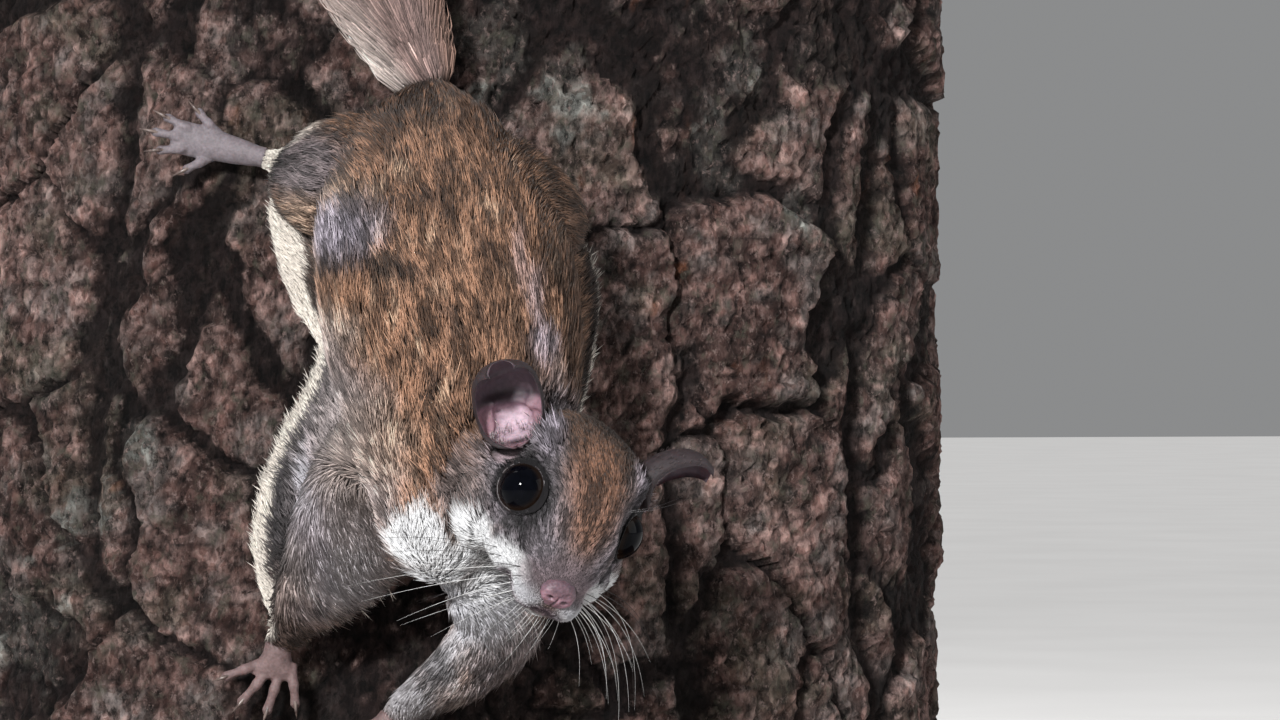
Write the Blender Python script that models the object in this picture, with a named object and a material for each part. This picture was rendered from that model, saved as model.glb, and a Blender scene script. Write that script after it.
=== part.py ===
"""A life-size southern flying squirrel clinging head down to a short cut length of trunk on a display stand.

Sizes and places are in millimetres, and each mesh is made in metres. +Z is up, the animal is on the -Y side
of the trunk with its head down, and the origin is the middle of the stand's underside.
"""

import math
import random

import bmesh
import bpy
import numpy as np
from mathutils import Matrix, Vector

MM = 0.001
GAP = 0.3  # clear distance between nodes that meet
TRIM_GAP = 0.45  # how far a curved neighbour is grown to cut its seat, which is a little less at its sharp edges

# Stand: a flat board and two rods that butt against the trunk's lower end.
BASE_WIDTH = 240.0
BASE_DEPTH = 156.0
BASE_THICK = 14.0
ROD_RADIUS = 6.0
ROD_LENGTH = 30.0
ROD_SPACING = 120.0
ROD_BACK = 22.0

# Trunk: half of a log, sawn flat behind and at both ends, with a flattened oval front.
TRUNK_HALF_WIDTH = 100.0
TRUNK_DEPTH = 72.0
TRUNK_ROUND = 2.5  # exponent of the oval: 2 is an ellipse, more is squarer
TRUNK_FRONT = -12.0
TRUNK_BACK = TRUNK_FRONT + TRUNK_DEPTH
TRUNK_FOOT = BASE_THICK + ROD_LENGTH
TRUNK_LENGTH = 228.0
BARK_FISSURE = 3.6
BARK_PLATE = (25.0, 37.0)  # width and height of one plate of bark
BARK_CRACK = 0.20  # width of a crack as a share of a plate
BARK_STEP = 1.9  # how much deeper one plate may lie than another
BARK_GRAIN = 1.25  # mean depth of the bark's grain, which the mesh is too coarse to show
BARK_FURROWS = [(76.0, 3.4, 44.0, 300.0), (37.0, 2.6, 30.0, 128.0), (-74.0, 2.6, 96.0, 190.0)]
BARK_CALM = [(-45.0, 79.0, 13.0), (-25.0, 66.0, 12.0), (-52.0, 170.0, 15.0), (4.0, 150.0, 18.0)]
BARK_FACES = 2040

# Head: its middle lies between the eyeballs, and its own axes are forward, left and up.
HEAD_MIDDLE = Vector((0.0, -54.0, 106.0))
HEAD_FORWARD = Vector((-0.152, -0.711, -0.687)).normalized()
HEAD_LEFT = Vector((0.897, 0.194, -0.398))
EYE_RADIUS = 4.7
EYE_APART = 19.0
EYE_ALONG = 0.0
EYE_LOOK = (0.48, 0.76, 0.44)
EYE_OPENING = 4.2
LID_RADIUS = 5.9  # the mound of lids round an eyeball
LID_SUNK = 1.25
NOSE_TIP = 17.2
NOSE_UP = -4.2
EAR_LENGTH = 14.0
EAR_DEEP = 3.0  # how far the ear's root sinks into the head
EAR_SWELL = [(0.26,), (0.68,), (0.92,), (1.0,), (0.98,), (0.90,), (0.78,), (0.58,), (0.26,)]
EAR_RADIUS = 5.6
EAR_THICK = 0.9
EAR_ROOT = (-7.4, 12.2, 1.9)
EAR_RISE = (-0.48, 0.65, 0.60)
EAR_OPEN = {"ear_right": (0.85, 0.26, 0.40), "ear_left": (0.80, 0.35, -0.35)}

FORM_VOXEL = 0.6
FORM_TRIANGLES = 3150
FACE_TRIANGLES = 6400
BACK = Vector((0.17, -0.985, 0.0))  # the way the back faces: out from the bark and a little to the right

CLAW_FRONT = 2.6
CLAW_HIND = 3.0
SEED = 7


def head_axes():
    """Forward, left and up of the head as unit vectors."""
    forward = HEAD_FORWARD
    left = (HEAD_LEFT - forward * HEAD_LEFT.dot(forward)).normalized()
    return forward, left, forward.cross(left)


def in_head(along, left, up):
    """A point given in the head's own axes, in the part's frame."""
    forward_axis, left_axis, up_axis = head_axes()
    return HEAD_MIDDLE + forward_axis * along + left_axis * left + up_axis * up


def trunk_recess(x):
    """How far the trunk's front lies behind its foremost line at this x."""
    share = min(abs(x) / TRUNK_HALF_WIDTH, 1.0)
    return TRUNK_DEPTH * (1.0 - (1.0 - share**TRUNK_ROUND) ** (1.0 / TRUNK_ROUND))


def on_bark(x, z, height):
    """A point this far out from the smooth front of the trunk."""
    return Vector((x, TRUNK_FRONT + trunk_recess(x) - height, z))


def material(name, colour, roughness, metallic=0.0):
    """A plain Principled material, made once."""
    made = bpy.data.materials.get(name)
    if made is None:
        made = bpy.data.materials.new(name)
        made.use_nodes = True
        shader = made.node_tree.nodes["Principled BSDF"]
        shader.inputs["Base Color"].default_value = (*colour, 1.0)
        shader.inputs["Roughness"].default_value = roughness
        shader.inputs["Metallic"].default_value = metallic
    return made


def finishes():
    """Every finish on the part."""
    return {
        "fur_back": material("fur_back", (0.23, 0.15, 0.09), 0.85),
        "fur_face": material("fur_face", (0.30, 0.24, 0.19), 0.85),
        "fur_tail": material("fur_tail", (0.36, 0.29, 0.23), 0.9),
        "fur_edge": material("fur_edge", (0.62, 0.56, 0.47), 0.9),
        "bare_skin": material("bare_skin", (0.45, 0.32, 0.30), 0.6),
        "eye": material("eye", (0.01, 0.01, 0.014), 0.08),
        "bark": material("bark", (0.20, 0.14, 0.12), 0.95),
        "board": material("board", (0.16, 0.10, 0.06), 0.5),
        "steel": material("steel", (0.45, 0.45, 0.46), 0.35, 1.0),
    }


def new_object(name, points, faces, finish=None):
    """A mesh object from points in millimetres, with its faces turned outwards."""
    mesh = bpy.data.meshes.new(name)
    mesh.from_pydata([tuple(Vector(p) * MM) for p in points], [], faces)
    work = bmesh.new()
    work.from_mesh(mesh)
    bmesh.ops.recalc_face_normals(work, faces=work.faces)
    work.to_mesh(mesh)
    work.free()
    made = bpy.data.objects.new(name, mesh)
    bpy.context.scene.collection.objects.link(made)
    if finish:
        mesh.materials.append(finish)
    mesh.shade_smooth()
    return made


def remove(*objects):
    """Deletes helper objects."""
    for thing in objects:
        bpy.data.objects.remove(thing)


def curve_values(rows, share):
    """The rows of numbers read at a share from 0 to 1 along a smooth Catmull-Rom curve through them."""
    last = len(rows) - 1
    place = share * last
    first = min(int(place), last - 1)
    t = place - first
    before, a, b, after = (rows[min(max(first + step, 0), last)] for step in (-1, 0, 1, 2))
    return [
        0.5 * (2 * q + (r - p) * t + (2 * p - 5 * q + 4 * r - s) * t * t + (3 * q - p - 3 * r + s) * t**3)
        for p, q, r, s in zip(before, a, b, after)
    ]


def loft(name, stations, rings, sides, up=BACK, square=2.2, finish=None):
    """A closed tube through stations of x, y, z, half width and half depth.

    Each ring is a rounded oval across the path, and its depth lies along up.
    """
    rows = [[curve_values(stations, i / (rings - 1))][0] for i in range(rings)]
    middles = [Vector(row[:3]) for row in rows]
    points, faces = [], []
    for i, row in enumerate(rows):
        tangent = (middles[min(i + 1, rings - 1)] - middles[max(i - 1, 0)]).normalized()
        deep = (up - tangent * up.dot(tangent)).normalized()
        wide = tangent.cross(deep)
        for k in range(sides):
            turn = 2 * math.pi * k / sides
            across = math.copysign(abs(math.cos(turn)) ** (2 / square), math.cos(turn))
            over = math.copysign(abs(math.sin(turn)) ** (2 / square), math.sin(turn))
            points.append(middles[i] + wide * (across * row[3]) + deep * (over * row[4]))
    for i in range(rings - 1):
        for k in range(sides):
            n = (k + 1) % sides
            faces.append((i * sides + k, i * sides + n, (i + 1) * sides + n, (i + 1) * sides + k))
    reach = 0.45
    for end, step in ((0, 1), (rings - 1, -1)):
        beyond = (middles[end] - middles[end + step]).normalized() * reach * min(rows[end][3:5])
        points.append(middles[end] + beyond)
        pole = len(points) - 1
        faces += [(end * sides + k, end * sides + (k + 1) % sides, pole) for k in range(sides)]
    return new_object(name, points, faces, finish)


def ball(name, middle, radii, axes=None, rings=8, sides=12, finish=None):
    """A closed ellipsoid with its three radii along the axes given."""
    axes = axes or (Vector((1, 0, 0)), Vector((0, 1, 0)), Vector((0, 0, 1)))
    points, faces = [], []
    for i in range(1, rings):
        dip = math.pi * i / rings
        for k in range(sides):
            turn = 2 * math.pi * k / sides
            unit = (math.cos(dip), math.sin(dip) * math.cos(turn), math.sin(dip) * math.sin(turn))
            points.append(middle + sum((a * r * u for a, r, u in zip(axes, radii, unit)), Vector()))
    for i in range(rings - 2):
        for k in range(sides):
            n = (k + 1) % sides
            faces.append((i * sides + k, i * sides + n, (i + 1) * sides + n, (i + 1) * sides + k))
    for sign, start in ((1, 0), (-1, (rings - 2) * sides)):
        points.append(middle + axes[0] * radii[0] * sign)
        faces += [(start + k, start + (k + 1) % sides, len(points) - 1) for k in range(sides)]
    return new_object(name, points, faces, finish)


def evaluated_mesh(thing):
    """The object's mesh with its modifiers applied."""
    bpy.context.view_layer.update()
    graph = bpy.context.evaluated_depsgraph_get()
    return bpy.data.meshes.new_from_object(thing.evaluated_get(graph))


def apply_modifiers(thing):
    """Turns the object's modifiers into mesh."""
    mesh = evaluated_mesh(thing)
    thing.modifiers.clear()
    thing.data = mesh
    return thing


def boolean(thing, other, operation, solver="EXACT"):
    """Cuts or joins with one closed mesh object, and applies it."""
    change = thing.modifiers.new(operation.lower(), "BOOLEAN")
    change.operation = operation
    change.solver = solver
    change.object = other
    return apply_modifiers(thing)


def union(name, pieces, finish, solver="EXACT"):
    """Joins closed pieces into one node with a Boolean union on a collection."""
    first, others = pieces[0], pieces[1:]
    group = bpy.data.collections.new(name + "_pieces")
    bpy.context.scene.collection.children.link(group)
    for piece in others:
        bpy.context.scene.collection.objects.unlink(piece)
        group.objects.link(piece)
    change = first.modifiers.new("union", "BOOLEAN")
    change.operation = "UNION"
    change.solver = solver
    change.operand_type = "COLLECTION"
    change.collection = group
    apply_modifiers(first)
    remove(*others)
    bpy.data.collections.remove(group)
    first.name = name
    first.data.materials.clear()
    first.data.materials.append(finish)
    return keep_largest(first)


def shells(work):
    """The connected groups of faces of a bmesh."""
    left, groups = set(work.faces), []
    while left:
        stack = [left.pop()]
        group = set(stack)
        while stack:
            for edge in stack.pop().edges:
                for face in edge.link_faces:
                    if face in left:
                        left.discard(face)
                        group.add(face)
                        stack.append(face)
        groups.append(group)
    return groups


def keep_largest(thing):
    """Keeps only the node's largest closed surface."""
    work = bmesh.new()
    work.from_mesh(thing.data)
    groups = sorted(shells(work), key=lambda group: sum(face.calc_area() for face in group))
    for group in groups[:-1]:
        bmesh.ops.delete(work, geom=list(group), context="FACES")
    work.to_mesh(thing.data)
    work.free()
    thing.data.shade_smooth()
    return thing


def swollen(thing, distance):
    """A copy grown outwards by a distance, to cut a neighbour clear of the thing."""
    copy = bpy.data.objects.new(thing.name + "_cutter", thing.data.copy())
    bpy.context.scene.collection.objects.link(copy)
    grow = copy.modifiers.new("grow", "DISPLACE")
    grow.mid_level = 0.0
    grow.strength = distance * MM
    return apply_modifiers(copy)


def trim(thing, *neighbours):
    """Cuts a node so that it meets its neighbours face to face, a gap away."""
    for neighbour in neighbours:
        cutter = swollen(neighbour, TRIM_GAP)
        boolean(thing, cutter, "DIFFERENCE", "MANIFOLD")
        remove(cutter)
    return keep_largest(thing)


# The body. Stations run tail to head and hold x, y, z, half width and half depth.
TORSO = [
    (-17.2, -22.5, 178.0, 6.5, 5.5),
    (-17.6, -24.2, 172.5, 13.5, 10.0),
    (-18.3, -26.3, 164.0, 19.5, 13.2),
    (-17.6, -28.2, 154.5, 22.6, 15.4),
    (-16.2, -29.6, 144.5, 23.6, 16.8),
    (-15.0, -30.2, 134.5, 23.2, 17.3),
    (-14.4, -30.6, 125.0, 21.8, 17.0),
    (-14.6, -30.8, 116.0, 19.8, 16.4),
    (-15.0, -30.4, 107.5, 17.2, 14.6),
    (-15.2, -29.2, 100.0, 13.0, 11.4),
    (-15.2, -28.2, 95.0, 7.0, 6.5),
]
NECK = [
    (-15.0, -32.0, 119.0, 13.0, 12.0),
    (-10.5, -38.0, 115.0, 13.2, 12.2),
    (-5.5, -44.0, 112.8, 12.6, 11.8),
    (-1.0, -49.5, 110.5, 11.4, 10.8),
]
RIGHT_ARM = [
    (-18.0, -30.0, 118.0, 12.5, 10.5),
    (-25.0, -27.0, 111.5, 13.2, 9.8),
    (-30.5, -23.0, 103.5, 11.8, 8.2),
    (-35.0, -19.0, 95.5, 8.8, 6.6),
    (-38.8, -15.8, 89.5, 5.8, 4.8),
    (-41.2, -13.6, 84.8, 4.2, 3.7),
    (-42.4, -12.6, 82.0, 3.6, 3.0),
]
LEFT_ARM = [
    (-10.0, -29.0, 104.0, 10.5, 9.5),
    (-7.5, -27.0, 94.5, 9.2, 9.0),
    (-6.2, -24.6, 86.0, 7.8, 7.8),
    (-9.5, -21.2, 79.5, 6.3, 6.3),
    (-15.0, -18.2, 74.5, 4.7, 4.8),
    (-19.6, -16.2, 71.2, 3.6, 3.7),
    (-22.4, -15.4, 68.6, 3.2, 3.0),
]
RIGHT_LEG = [
    (-21.0, -26.0, 163.0, 12.8, 10.5),
    (-28.0, -24.2, 163.4, 12.0, 10.2),
    (-34.0, -21.0, 163.8, 10.4, 9.0),
    (-38.8, -17.2, 164.8, 7.6, 7.0),
    (-42.4, -13.6, 166.6, 3.6, 3.8),
    (-45.4, -12.0, 167.8, 2.3, 2.3),
]
LEFT_THIGH = [
    (-10.0, -26.0, 160.0, 12.5, 10.5),
    (-3.0, -24.8, 157.5, 12.0, 10.2),
    (3.2, -22.2, 155.0, 9.2, 8.6),
    (6.2, -20.4, 153.6, 5.2, 5.2),
]
LEFT_SHANK = [
    (4.8, -20.2, 153.4, 5.4, 5.2),
    (4.8, -18.2, 156.6, 5.0, 4.8),
    (3.4, -16.2, 160.2, 4.2, 3.8),
    (1.6, -15.0, 162.6, 3.2, 2.8),
]
# The head's rings: place along it, half width, height above and depth below its middle line.
HEAD_RINGS = [
    (-18.5, 6.0, 4.6, 6.5),
    (-15.0, 9.8, 8.0, 9.0),
    (-10.0, 12.0, 10.2, 10.6),
    (-5.0, 12.6, 10.4, 11.2),
    (0.0, 11.6, 9.4, 12.2),
    (4.0, 10.6, 7.2, 12.2),
    (8.0, 8.6, 4.4, 11.6),
    (11.5, 6.6, 1.6, 10.6),
    (14.2, 4.8, -0.6, 9.2),
    (15.6, 3.2, -2.2, 7.6),
]


def head_form():
    """The head from skull to muzzle as one closed tube along its own axes."""
    forward, left, up = head_axes()
    stations = []
    for along, wide, high, low in HEAD_RINGS:
        middle = in_head(along, 0.0, (high - low) / 2)
        stations.append((*middle, wide, (high + low) / 2))
    skull = loft("skull", stations, 22, 20, up=up, square=2.3)
    pads = []
    for side in (-1, 1):
        pads.append(ball("cheek", in_head(3.6, 6.4 * side, -6.8), (8.4, 5.6, 6.2), (forward, left, up)))
        pads.append(ball("lip", in_head(11.8, 3.7 * side, -7.0), (5.0, 4.0, 3.6), (forward, left, up)))
        pads.append(ball("brow", in_head(-1.5, 5.2 * side, 4.6), (6.4, 5.0, 4.6), (forward, left, up)))
        middle, look = eye_place(side)
        pads.append(ball("lids", middle - look * LID_SUNK, (LID_RADIUS,) * 3))
    pads.append(ball("nose", in_head(15.4, 0.0, NOSE_UP), (2.3, 2.7, 2.1), (forward, left, up)))
    pads.append(ball("chin", in_head(10.5, 0.0, -9.4), (4.0, 3.2, 2.0), (forward, left, up)))
    return [skull] + pads


def on_face(point):
    """Whether a point lies on the face, which keeps its finer faces."""
    away = point - HEAD_MIDDLE
    return away.length < 22.0 and away.dot(HEAD_FORWARD) > -3.0


def fused_form():
    """Torso, neck, head and limbs grown into one surface, then thinned to few faces with the head kept fine."""
    pieces = [
        loft("torso_form", TORSO, 30, 24),
        loft("neck_form", NECK, 12, 20),
        loft("right_arm_form", RIGHT_ARM, 18, 16),
        loft("left_arm_form", LEFT_ARM, 18, 16),
        loft("right_leg_form", RIGHT_LEG, 16, 16),
        loft("left_thigh_form", LEFT_THIGH, 12, 16),
        loft("left_shank_form", LEFT_SHANK, 10, 14),
    ] + head_form()
    work = bmesh.new()
    for piece in pieces:
        work.from_mesh(piece.data)
    remove(*pieces)
    mesh = bpy.data.meshes.new("form")
    work.to_mesh(mesh)
    work.free()
    form = bpy.data.objects.new("form", mesh)
    bpy.context.scene.collection.objects.link(form)
    fuse = form.modifiers.new("fuse", "REMESH")
    fuse.mode = "VOXEL"
    fuse.voxel_size = FORM_VOXEL * MM
    apply_modifiers(form)
    furred = form.vertex_groups.new(name="furred")
    furred.add([v.index for v in form.data.vertices if not on_face(v.co / MM)], 1.0, "REPLACE")
    for rounds, group in ((4, "furred"), (8, "")):
        ease = form.modifiers.new("ease", "SMOOTH")
        ease.factor = 0.5
        ease.iterations = rounds
        ease.vertex_group = group
    whole = 2.0 * len(form.data.polygons)
    for triangles, was, group in ((FACE_TRIANGLES, whole, ""), (FORM_TRIANGLES, FACE_TRIANGLES, "furred")):
        thin = form.modifiers.new("thin", "DECIMATE")
        thin.ratio = triangles / was
        thin.vertex_group = group
        thin.vertex_group_factor = 1.0
    apply_modifiers(form)
    form.vertex_groups.clear()
    return keep_largest(form)


# The regions that part the form, in the order they are taken: start, the way they run, radius and length.
REGIONS = {
    "head": ((-3.9, -44.3, 113.9), (0.12, -0.72, -0.66), 19.5, 60.0),
    "neck": ((-12.3, -36.0, 116.3), (0.62, -0.74, -0.25), 20.0, 25.0),
    "foreleg_right": ((-27.0, -26.0, 109.0), (-0.46, 0.39, -0.80), 15.0, 60.0),
    "foreleg_left": ((-7.6, -27.5, 95.5), (-0.3, 0.3, -0.9), 15.0, 45.0),
    "hindleg_right": ((-29.0, -24.0, 161.8), (-0.85, 0.50, 0.15), 14.0, 32.0),
    "hindleg_left": ((-2.5, -24.0, 157.0), (0.83, 0.55, -0.05), 13.5, 25.0),
}


def region(start, way, radius, length):
    """A closed drum that holds one part of the body."""
    way = Vector(way).normalized()
    start = Vector(start)
    wide = way.orthogonal().normalized()
    deep = way.cross(wide)
    sides = 20
    points = []
    for place in (start, start + way * length):
        for k in range(sides):
            turn = 2 * math.pi * k / sides
            points.append(place + (wide * math.cos(turn) + deep * math.sin(turn)) * radius)
    faces = [(k, (k + 1) % sides, sides + (k + 1) % sides, sides + k) for k in range(sides)]
    faces += [tuple(range(sides)), tuple(range(2 * sides - 1, sides - 1, -1))]
    return new_object("region", points, faces)


def part_form(form, looks):
    """Parts the form into its nodes, each a gap away from the next."""
    nodes = {}
    for name, (start, way, radius, length) in REGIONS.items():
        piece = bpy.data.objects.new(name, form.data.copy())
        bpy.context.scene.collection.objects.link(piece)
        drum = region(start, way, radius, length)
        boolean(piece, drum, "INTERSECT")
        grown = region(
            Vector(start) - Vector(way).normalized() * GAP, way, radius + GAP, length + 2 * GAP
        )
        boolean(form, grown, "DIFFERENCE")
        remove(drum, grown)
        nodes[name] = keep_largest(piece)
    form.name = "torso"
    nodes["torso"] = keep_largest(form)
    for name, node in nodes.items():
        node.data.materials.clear()
        node.data.materials.append(looks["fur_face" if name == "head" else "fur_back"])
    return nodes


def eye_place(side):
    """Centre and outward axis of an eyeball; side is -1 on the right and 1 on the left."""
    forward, left, up = head_axes()
    middle = in_head(EYE_ALONG, EYE_APART / 2 * side, 0.0)
    look = (forward * EYE_LOOK[0] + left * EYE_LOOK[1] * side + up * EYE_LOOK[2]).normalized()
    return middle, look


def carve_face(head, looks):
    """Cuts the sockets, the openings of the lids, the nostrils and the line of the mouth, and makes the eyes."""
    eyes = []
    for side, name in ((-1, "eye_right"), (1, "eye_left")):
        middle, look = eye_place(side)
        cross = look.orthogonal().normalized()
        eye = ball(name, middle, (EYE_RADIUS,) * 3, (look, cross, look.cross(cross)), 10, 16, looks["eye"])
        socket = swollen(eye, GAP)
        opening = region(middle, look, EYE_OPENING, 9.0)
        boolean(head, socket, "DIFFERENCE")
        boolean(head, opening, "DIFFERENCE")
        remove(socket, opening)
        eyes.append(eye)
    forward, left, up = head_axes()
    for side in (-1, 1):
        hole_axes = ((forward * 0.70 + left * side * 0.70).normalized(), up, left)
        hole = ball("nostril", in_head(NOSE_TIP - 1.0, 1.9 * side, NOSE_UP - 0.4), (1.7, 0.55, 0.9), hole_axes, 6, 8)
        boolean(head, hole, "DIFFERENCE")
        remove(hole)
    groove = mouth_line(head)
    boolean(head, groove, "DIFFERENCE")
    remove(groove)
    return keep_largest(head), eyes


MOUTH = [(7.0, -7.4, -9.4), (10.6, -6.4, -9.8), (13.6, -3.6, -9.2), (15.2, 0.0, -8.2)]


def mouth_line(head):
    """A thin bent rod along the line of the mouth, half sunk in the muzzle."""
    half = [in_head(*p) for p in MOUTH]
    other = [in_head(along, -left, up) for along, left, up in reversed(MOUTH[:-1])]
    stations = []
    for point in half + other:
        found, place, normal, _ = head.closest_point_on_mesh(point * MM)
        stations.append((*(place / MM if found else point), 0.45, 0.45))
    return loft("mouth", stations, 21, 6, up=head_axes()[2], square=2.0)


def ear_axes(side, name):
    """Root, rise, opening and across of one ear."""
    forward, left, up = head_axes()
    axis = (forward * EAR_RISE[0] + left * side * EAR_RISE[1] + up * EAR_RISE[2]).normalized()
    ahead, outward, above = EAR_OPEN[name]
    opens = forward * ahead + left * side * outward + up * above
    opens = (opens - axis * opens.dot(axis)).normalized()
    root = in_head(EAR_ROOT[0], EAR_ROOT[1] * side, EAR_ROOT[2])
    return root, axis, opens, axis.cross(opens) * side


def ear(side, name, looks):
    """One ear and the plug that fills its hollow.

    A row runs round the cup, and the rows rise from a narrow root to the tip. The outer skin and the inner one
    share a rim. The plug closes each row with a chord, and cuts the ear's seat in the head.
    """
    root, axis, opens, across = ear_axes(side, name)
    rows, columns = 9, 11
    outer, inner = [], []
    for i in range(rows):
        rise = i / (rows - 1)
        (swell,) = curve_values(EAR_SWELL, rise)
        wrap = math.radians(250 - 100 * rise)
        reach = EAR_LENGTH * rise - EAR_DEEP * (1.0 - rise)
        lean = 1.6 * math.sin(math.pi * rise) - 1.2 * rise
        for k in range(columns):
            share = k / (columns - 1) * 2 - 1
            turn = share * wrap / 2
            drop = 2.6 * rise * share * share * (1.0 + 0.25 * share)
            away = across * math.sin(turn) - opens * math.cos(turn)
            place = root + axis * (reach - drop) + away * EAR_RADIUS * swell - opens * lean
            outer.append(place + away * EAR_THICK / 2)
            inner.append(place - away * EAR_THICK / 2 * min(1.0, 2.0 * swell))
    shift = rows * columns
    faces = []
    for i in range(rows - 1):
        for k in range(columns - 1):
            a, b = i * columns + k, (i + 1) * columns + k
            faces.append((a, a + 1, b + 1, b))
            faces.append((shift + a, shift + b, shift + b + 1, shift + a + 1))
    rim = [i * columns for i in range(rows)] + [(rows - 1) * columns + k for k in range(1, columns)]
    rim += [i * columns + columns - 1 for i in range(rows - 2, -1, -1)]
    rim += list(range(columns - 2, 0, -1))
    for a, b in zip(rim, rim[1:] + rim[:1]):
        faces.append((a, b, shift + b, shift + a))
    shell = new_object(name, outer + inner, faces, looks["bare_skin"])
    plug_faces = [tuple(range(columns)), tuple(range((rows - 1) * columns, rows * columns))[::-1]]
    for i in range(rows - 1):
        for k in range(columns):
            n = (k + 1) % columns
            a, b, c, d = i * columns + k, i * columns + n, (i + 1) * columns + n, (i + 1) * columns + k
            plug_faces += [(a, b, c), (a, c, d)]
    return shell, new_object(name + "_plug", outer, plug_faces)


def digit(name, start, heading, length, radius, claw, up, drop):
    """A finger or toe with a knuckle, a pad at its end and a curved claw, as two closed pieces."""
    heading = heading.normalized()
    end = start + heading * length
    stations = [
        (*(start - heading * 1.0), radius * 1.15, radius * 1.05),
        (*(start + heading * length * 0.35 + up * drop * 0.7), radius * 0.98, radius * 1.02),
        (*(start + heading * length * 0.7 + up * drop * 0.3), radius * 0.84, radius * 0.86),
        (*(end - up * radius * 0.15), radius * 1.0, radius * 0.95),
    ]
    finger = loft(name + "_digit", stations, 5, 6, up=up, square=2.0)
    claw_stations = [
        (*(end - heading * 0.6 + up * radius * 0.25), radius * 0.42, radius * 0.5),
        (*(end + heading * claw * 0.5 + up * radius * 0.35), 0.36, 0.42),
        (*(end + heading * claw * 0.95 - up * radius * 0.45), 0.14, 0.14),
    ]
    return [finger, loft(name + "_claw", claw_stations, 3, 5, up=up, square=2.0)]


def bark_up(x):
    """The way out of the trunk's smooth front at this x."""
    step = 0.5
    slope = (trunk_recess(x + step) - trunk_recess(x - step)) / (2 * step)
    return Vector((slope, -1.0, 0.0)).normalized()


def paw(name, wrist, heel, spread, lengths, radius, palm, claw, looks):
    """A paw on the bark: a palm from wrist to the roots of the digits, and digits fanned by angles in the bark."""
    up = bark_up(heel.x)
    ahead = (heel - wrist)
    ahead = (ahead - up * ahead.dot(up)).normalized()
    side = up.cross(ahead)
    front = heel + ahead * palm[0]
    stations = [
        (*(wrist + up * 0.6), palm[1] * 0.60, palm[2] * 0.95),
        (*(wrist.lerp(heel, 0.5) + up * 0.6), palm[1] * 0.62, palm[2]),
        (*(heel + up * 0.4), palm[1] * 0.72, palm[2]),
        (*(heel + ahead * palm[0] * 0.6 + up * 0.1), palm[1] * 0.98, palm[2] * 0.85),
        (*front, palm[1], palm[2] * 0.6),
    ]
    pieces = [loft(name + "_palm", stations, 8, 10, up=up)]
    for number, (angle, length) in enumerate(zip(spread, lengths)):
        turn = math.radians(angle)
        share = number / (len(spread) - 1) * 2 - 1
        start = heel + ahead * palm[0] * (0.75 - 0.28 * share * share) + side * palm[1] * 0.78 * share
        heading = ahead * math.cos(turn) + side * math.sin(turn)
        pieces += digit(f"{name}_{number}", start, heading, length, radius, claw, up, 0.9)
    return union(name, pieces, looks["bare_skin"], "MANIFOLD")


def membrane(name, inner, outer, thick, looks):
    """The gliding membrane along one flank, from its line inside the body to its free rim."""
    rings, across = 18, 3
    points, faces = [], []
    for i in range(rings):
        share = i / (rings - 1)
        root = Vector(curve_values(inner, share))
        rim = Vector(curve_values(outer, share))
        up = bark_up(rim.x)
        width = rim - root
        top, low = [], []
        for k in range(across):
            v = k / (across - 1)
            puff = thick * (0.36 + 0.22 * math.sin(math.pi * v) + 0.20 * v)
            bow = up * 1.2 * math.sin(math.pi * v)
            top.append(root + width * v + bow + up * puff)
            low.append(root + width * v + bow - up * puff)
        tip = rim + width.normalized() * thick * 0.5
        points += top + [tip] + low[::-1]
    ring = 2 * across + 1
    for i in range(rings - 1):
        for k in range(ring):
            n = (k + 1) % ring
            a, b, c, d = i * ring + k, i * ring + n, (i + 1) * ring + n, (i + 1) * ring + k
            faces += [(a, b, c), (a, c, d)]
    faces += [tuple(range(ring)), tuple((rings - 1) * ring + k for k in range(ring - 1, -1, -1))]
    return new_object(name, points, faces, looks["fur_edge"])


RIGHT_MEMBRANE_RIM = [
    on_bark(-42.6, 165.0, 5.0),
    on_bark(-43.6, 158.0, 4.6),
    on_bark(-42.2, 150.0, 4.6),
    on_bark(-39.6, 142.0, 4.8),
    on_bark(-35.6, 134.5, 5.4),
    on_bark(-36.8, 128.0, 5.6),
    on_bark(-41.2, 119.0, 5.2),
    on_bark(-45.0, 109.0, 4.6),
    on_bark(-46.2, 99.0, 4.4),
    on_bark(-45.0, 91.0, 4.2),
    on_bark(-43.6, 86.0, 4.0),
]
RIGHT_MEMBRANE_ROOT = [
    on_bark(-35.0, 163.0, 8.0),
    on_bark(-30.0, 157.0, 9.0),
    on_bark(-27.0, 150.0, 10.0),
    on_bark(-26.0, 142.0, 10.0),
    on_bark(-26.0, 134.5, 11.0),
    on_bark(-26.0, 128.0, 11.0),
    on_bark(-27.0, 119.0, 10.0),
    on_bark(-29.0, 108.0, 9.0),
    on_bark(-33.0, 99.0, 7.0),
    on_bark(-37.5, 91.0, 5.0),
    on_bark(-40.0, 86.5, 4.2),
]
LEFT_MEMBRANE_RIM = [
    on_bark(4.5, 158.5, 3.2),
    on_bark(10.4, 153.0, 4.6),
    on_bark(13.2, 145.0, 5.2),
    on_bark(12.6, 134.0, 5.6),
    on_bark(9.8, 122.0, 6.0),
    on_bark(7.4, 110.0, 6.4),
    on_bark(5.4, 98.0, 6.8),
    on_bark(3.2, 88.0, 6.6),
    on_bark(-3.0, 79.5, 5.6),
    on_bark(-12.0, 73.0, 4.6),
]
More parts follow.
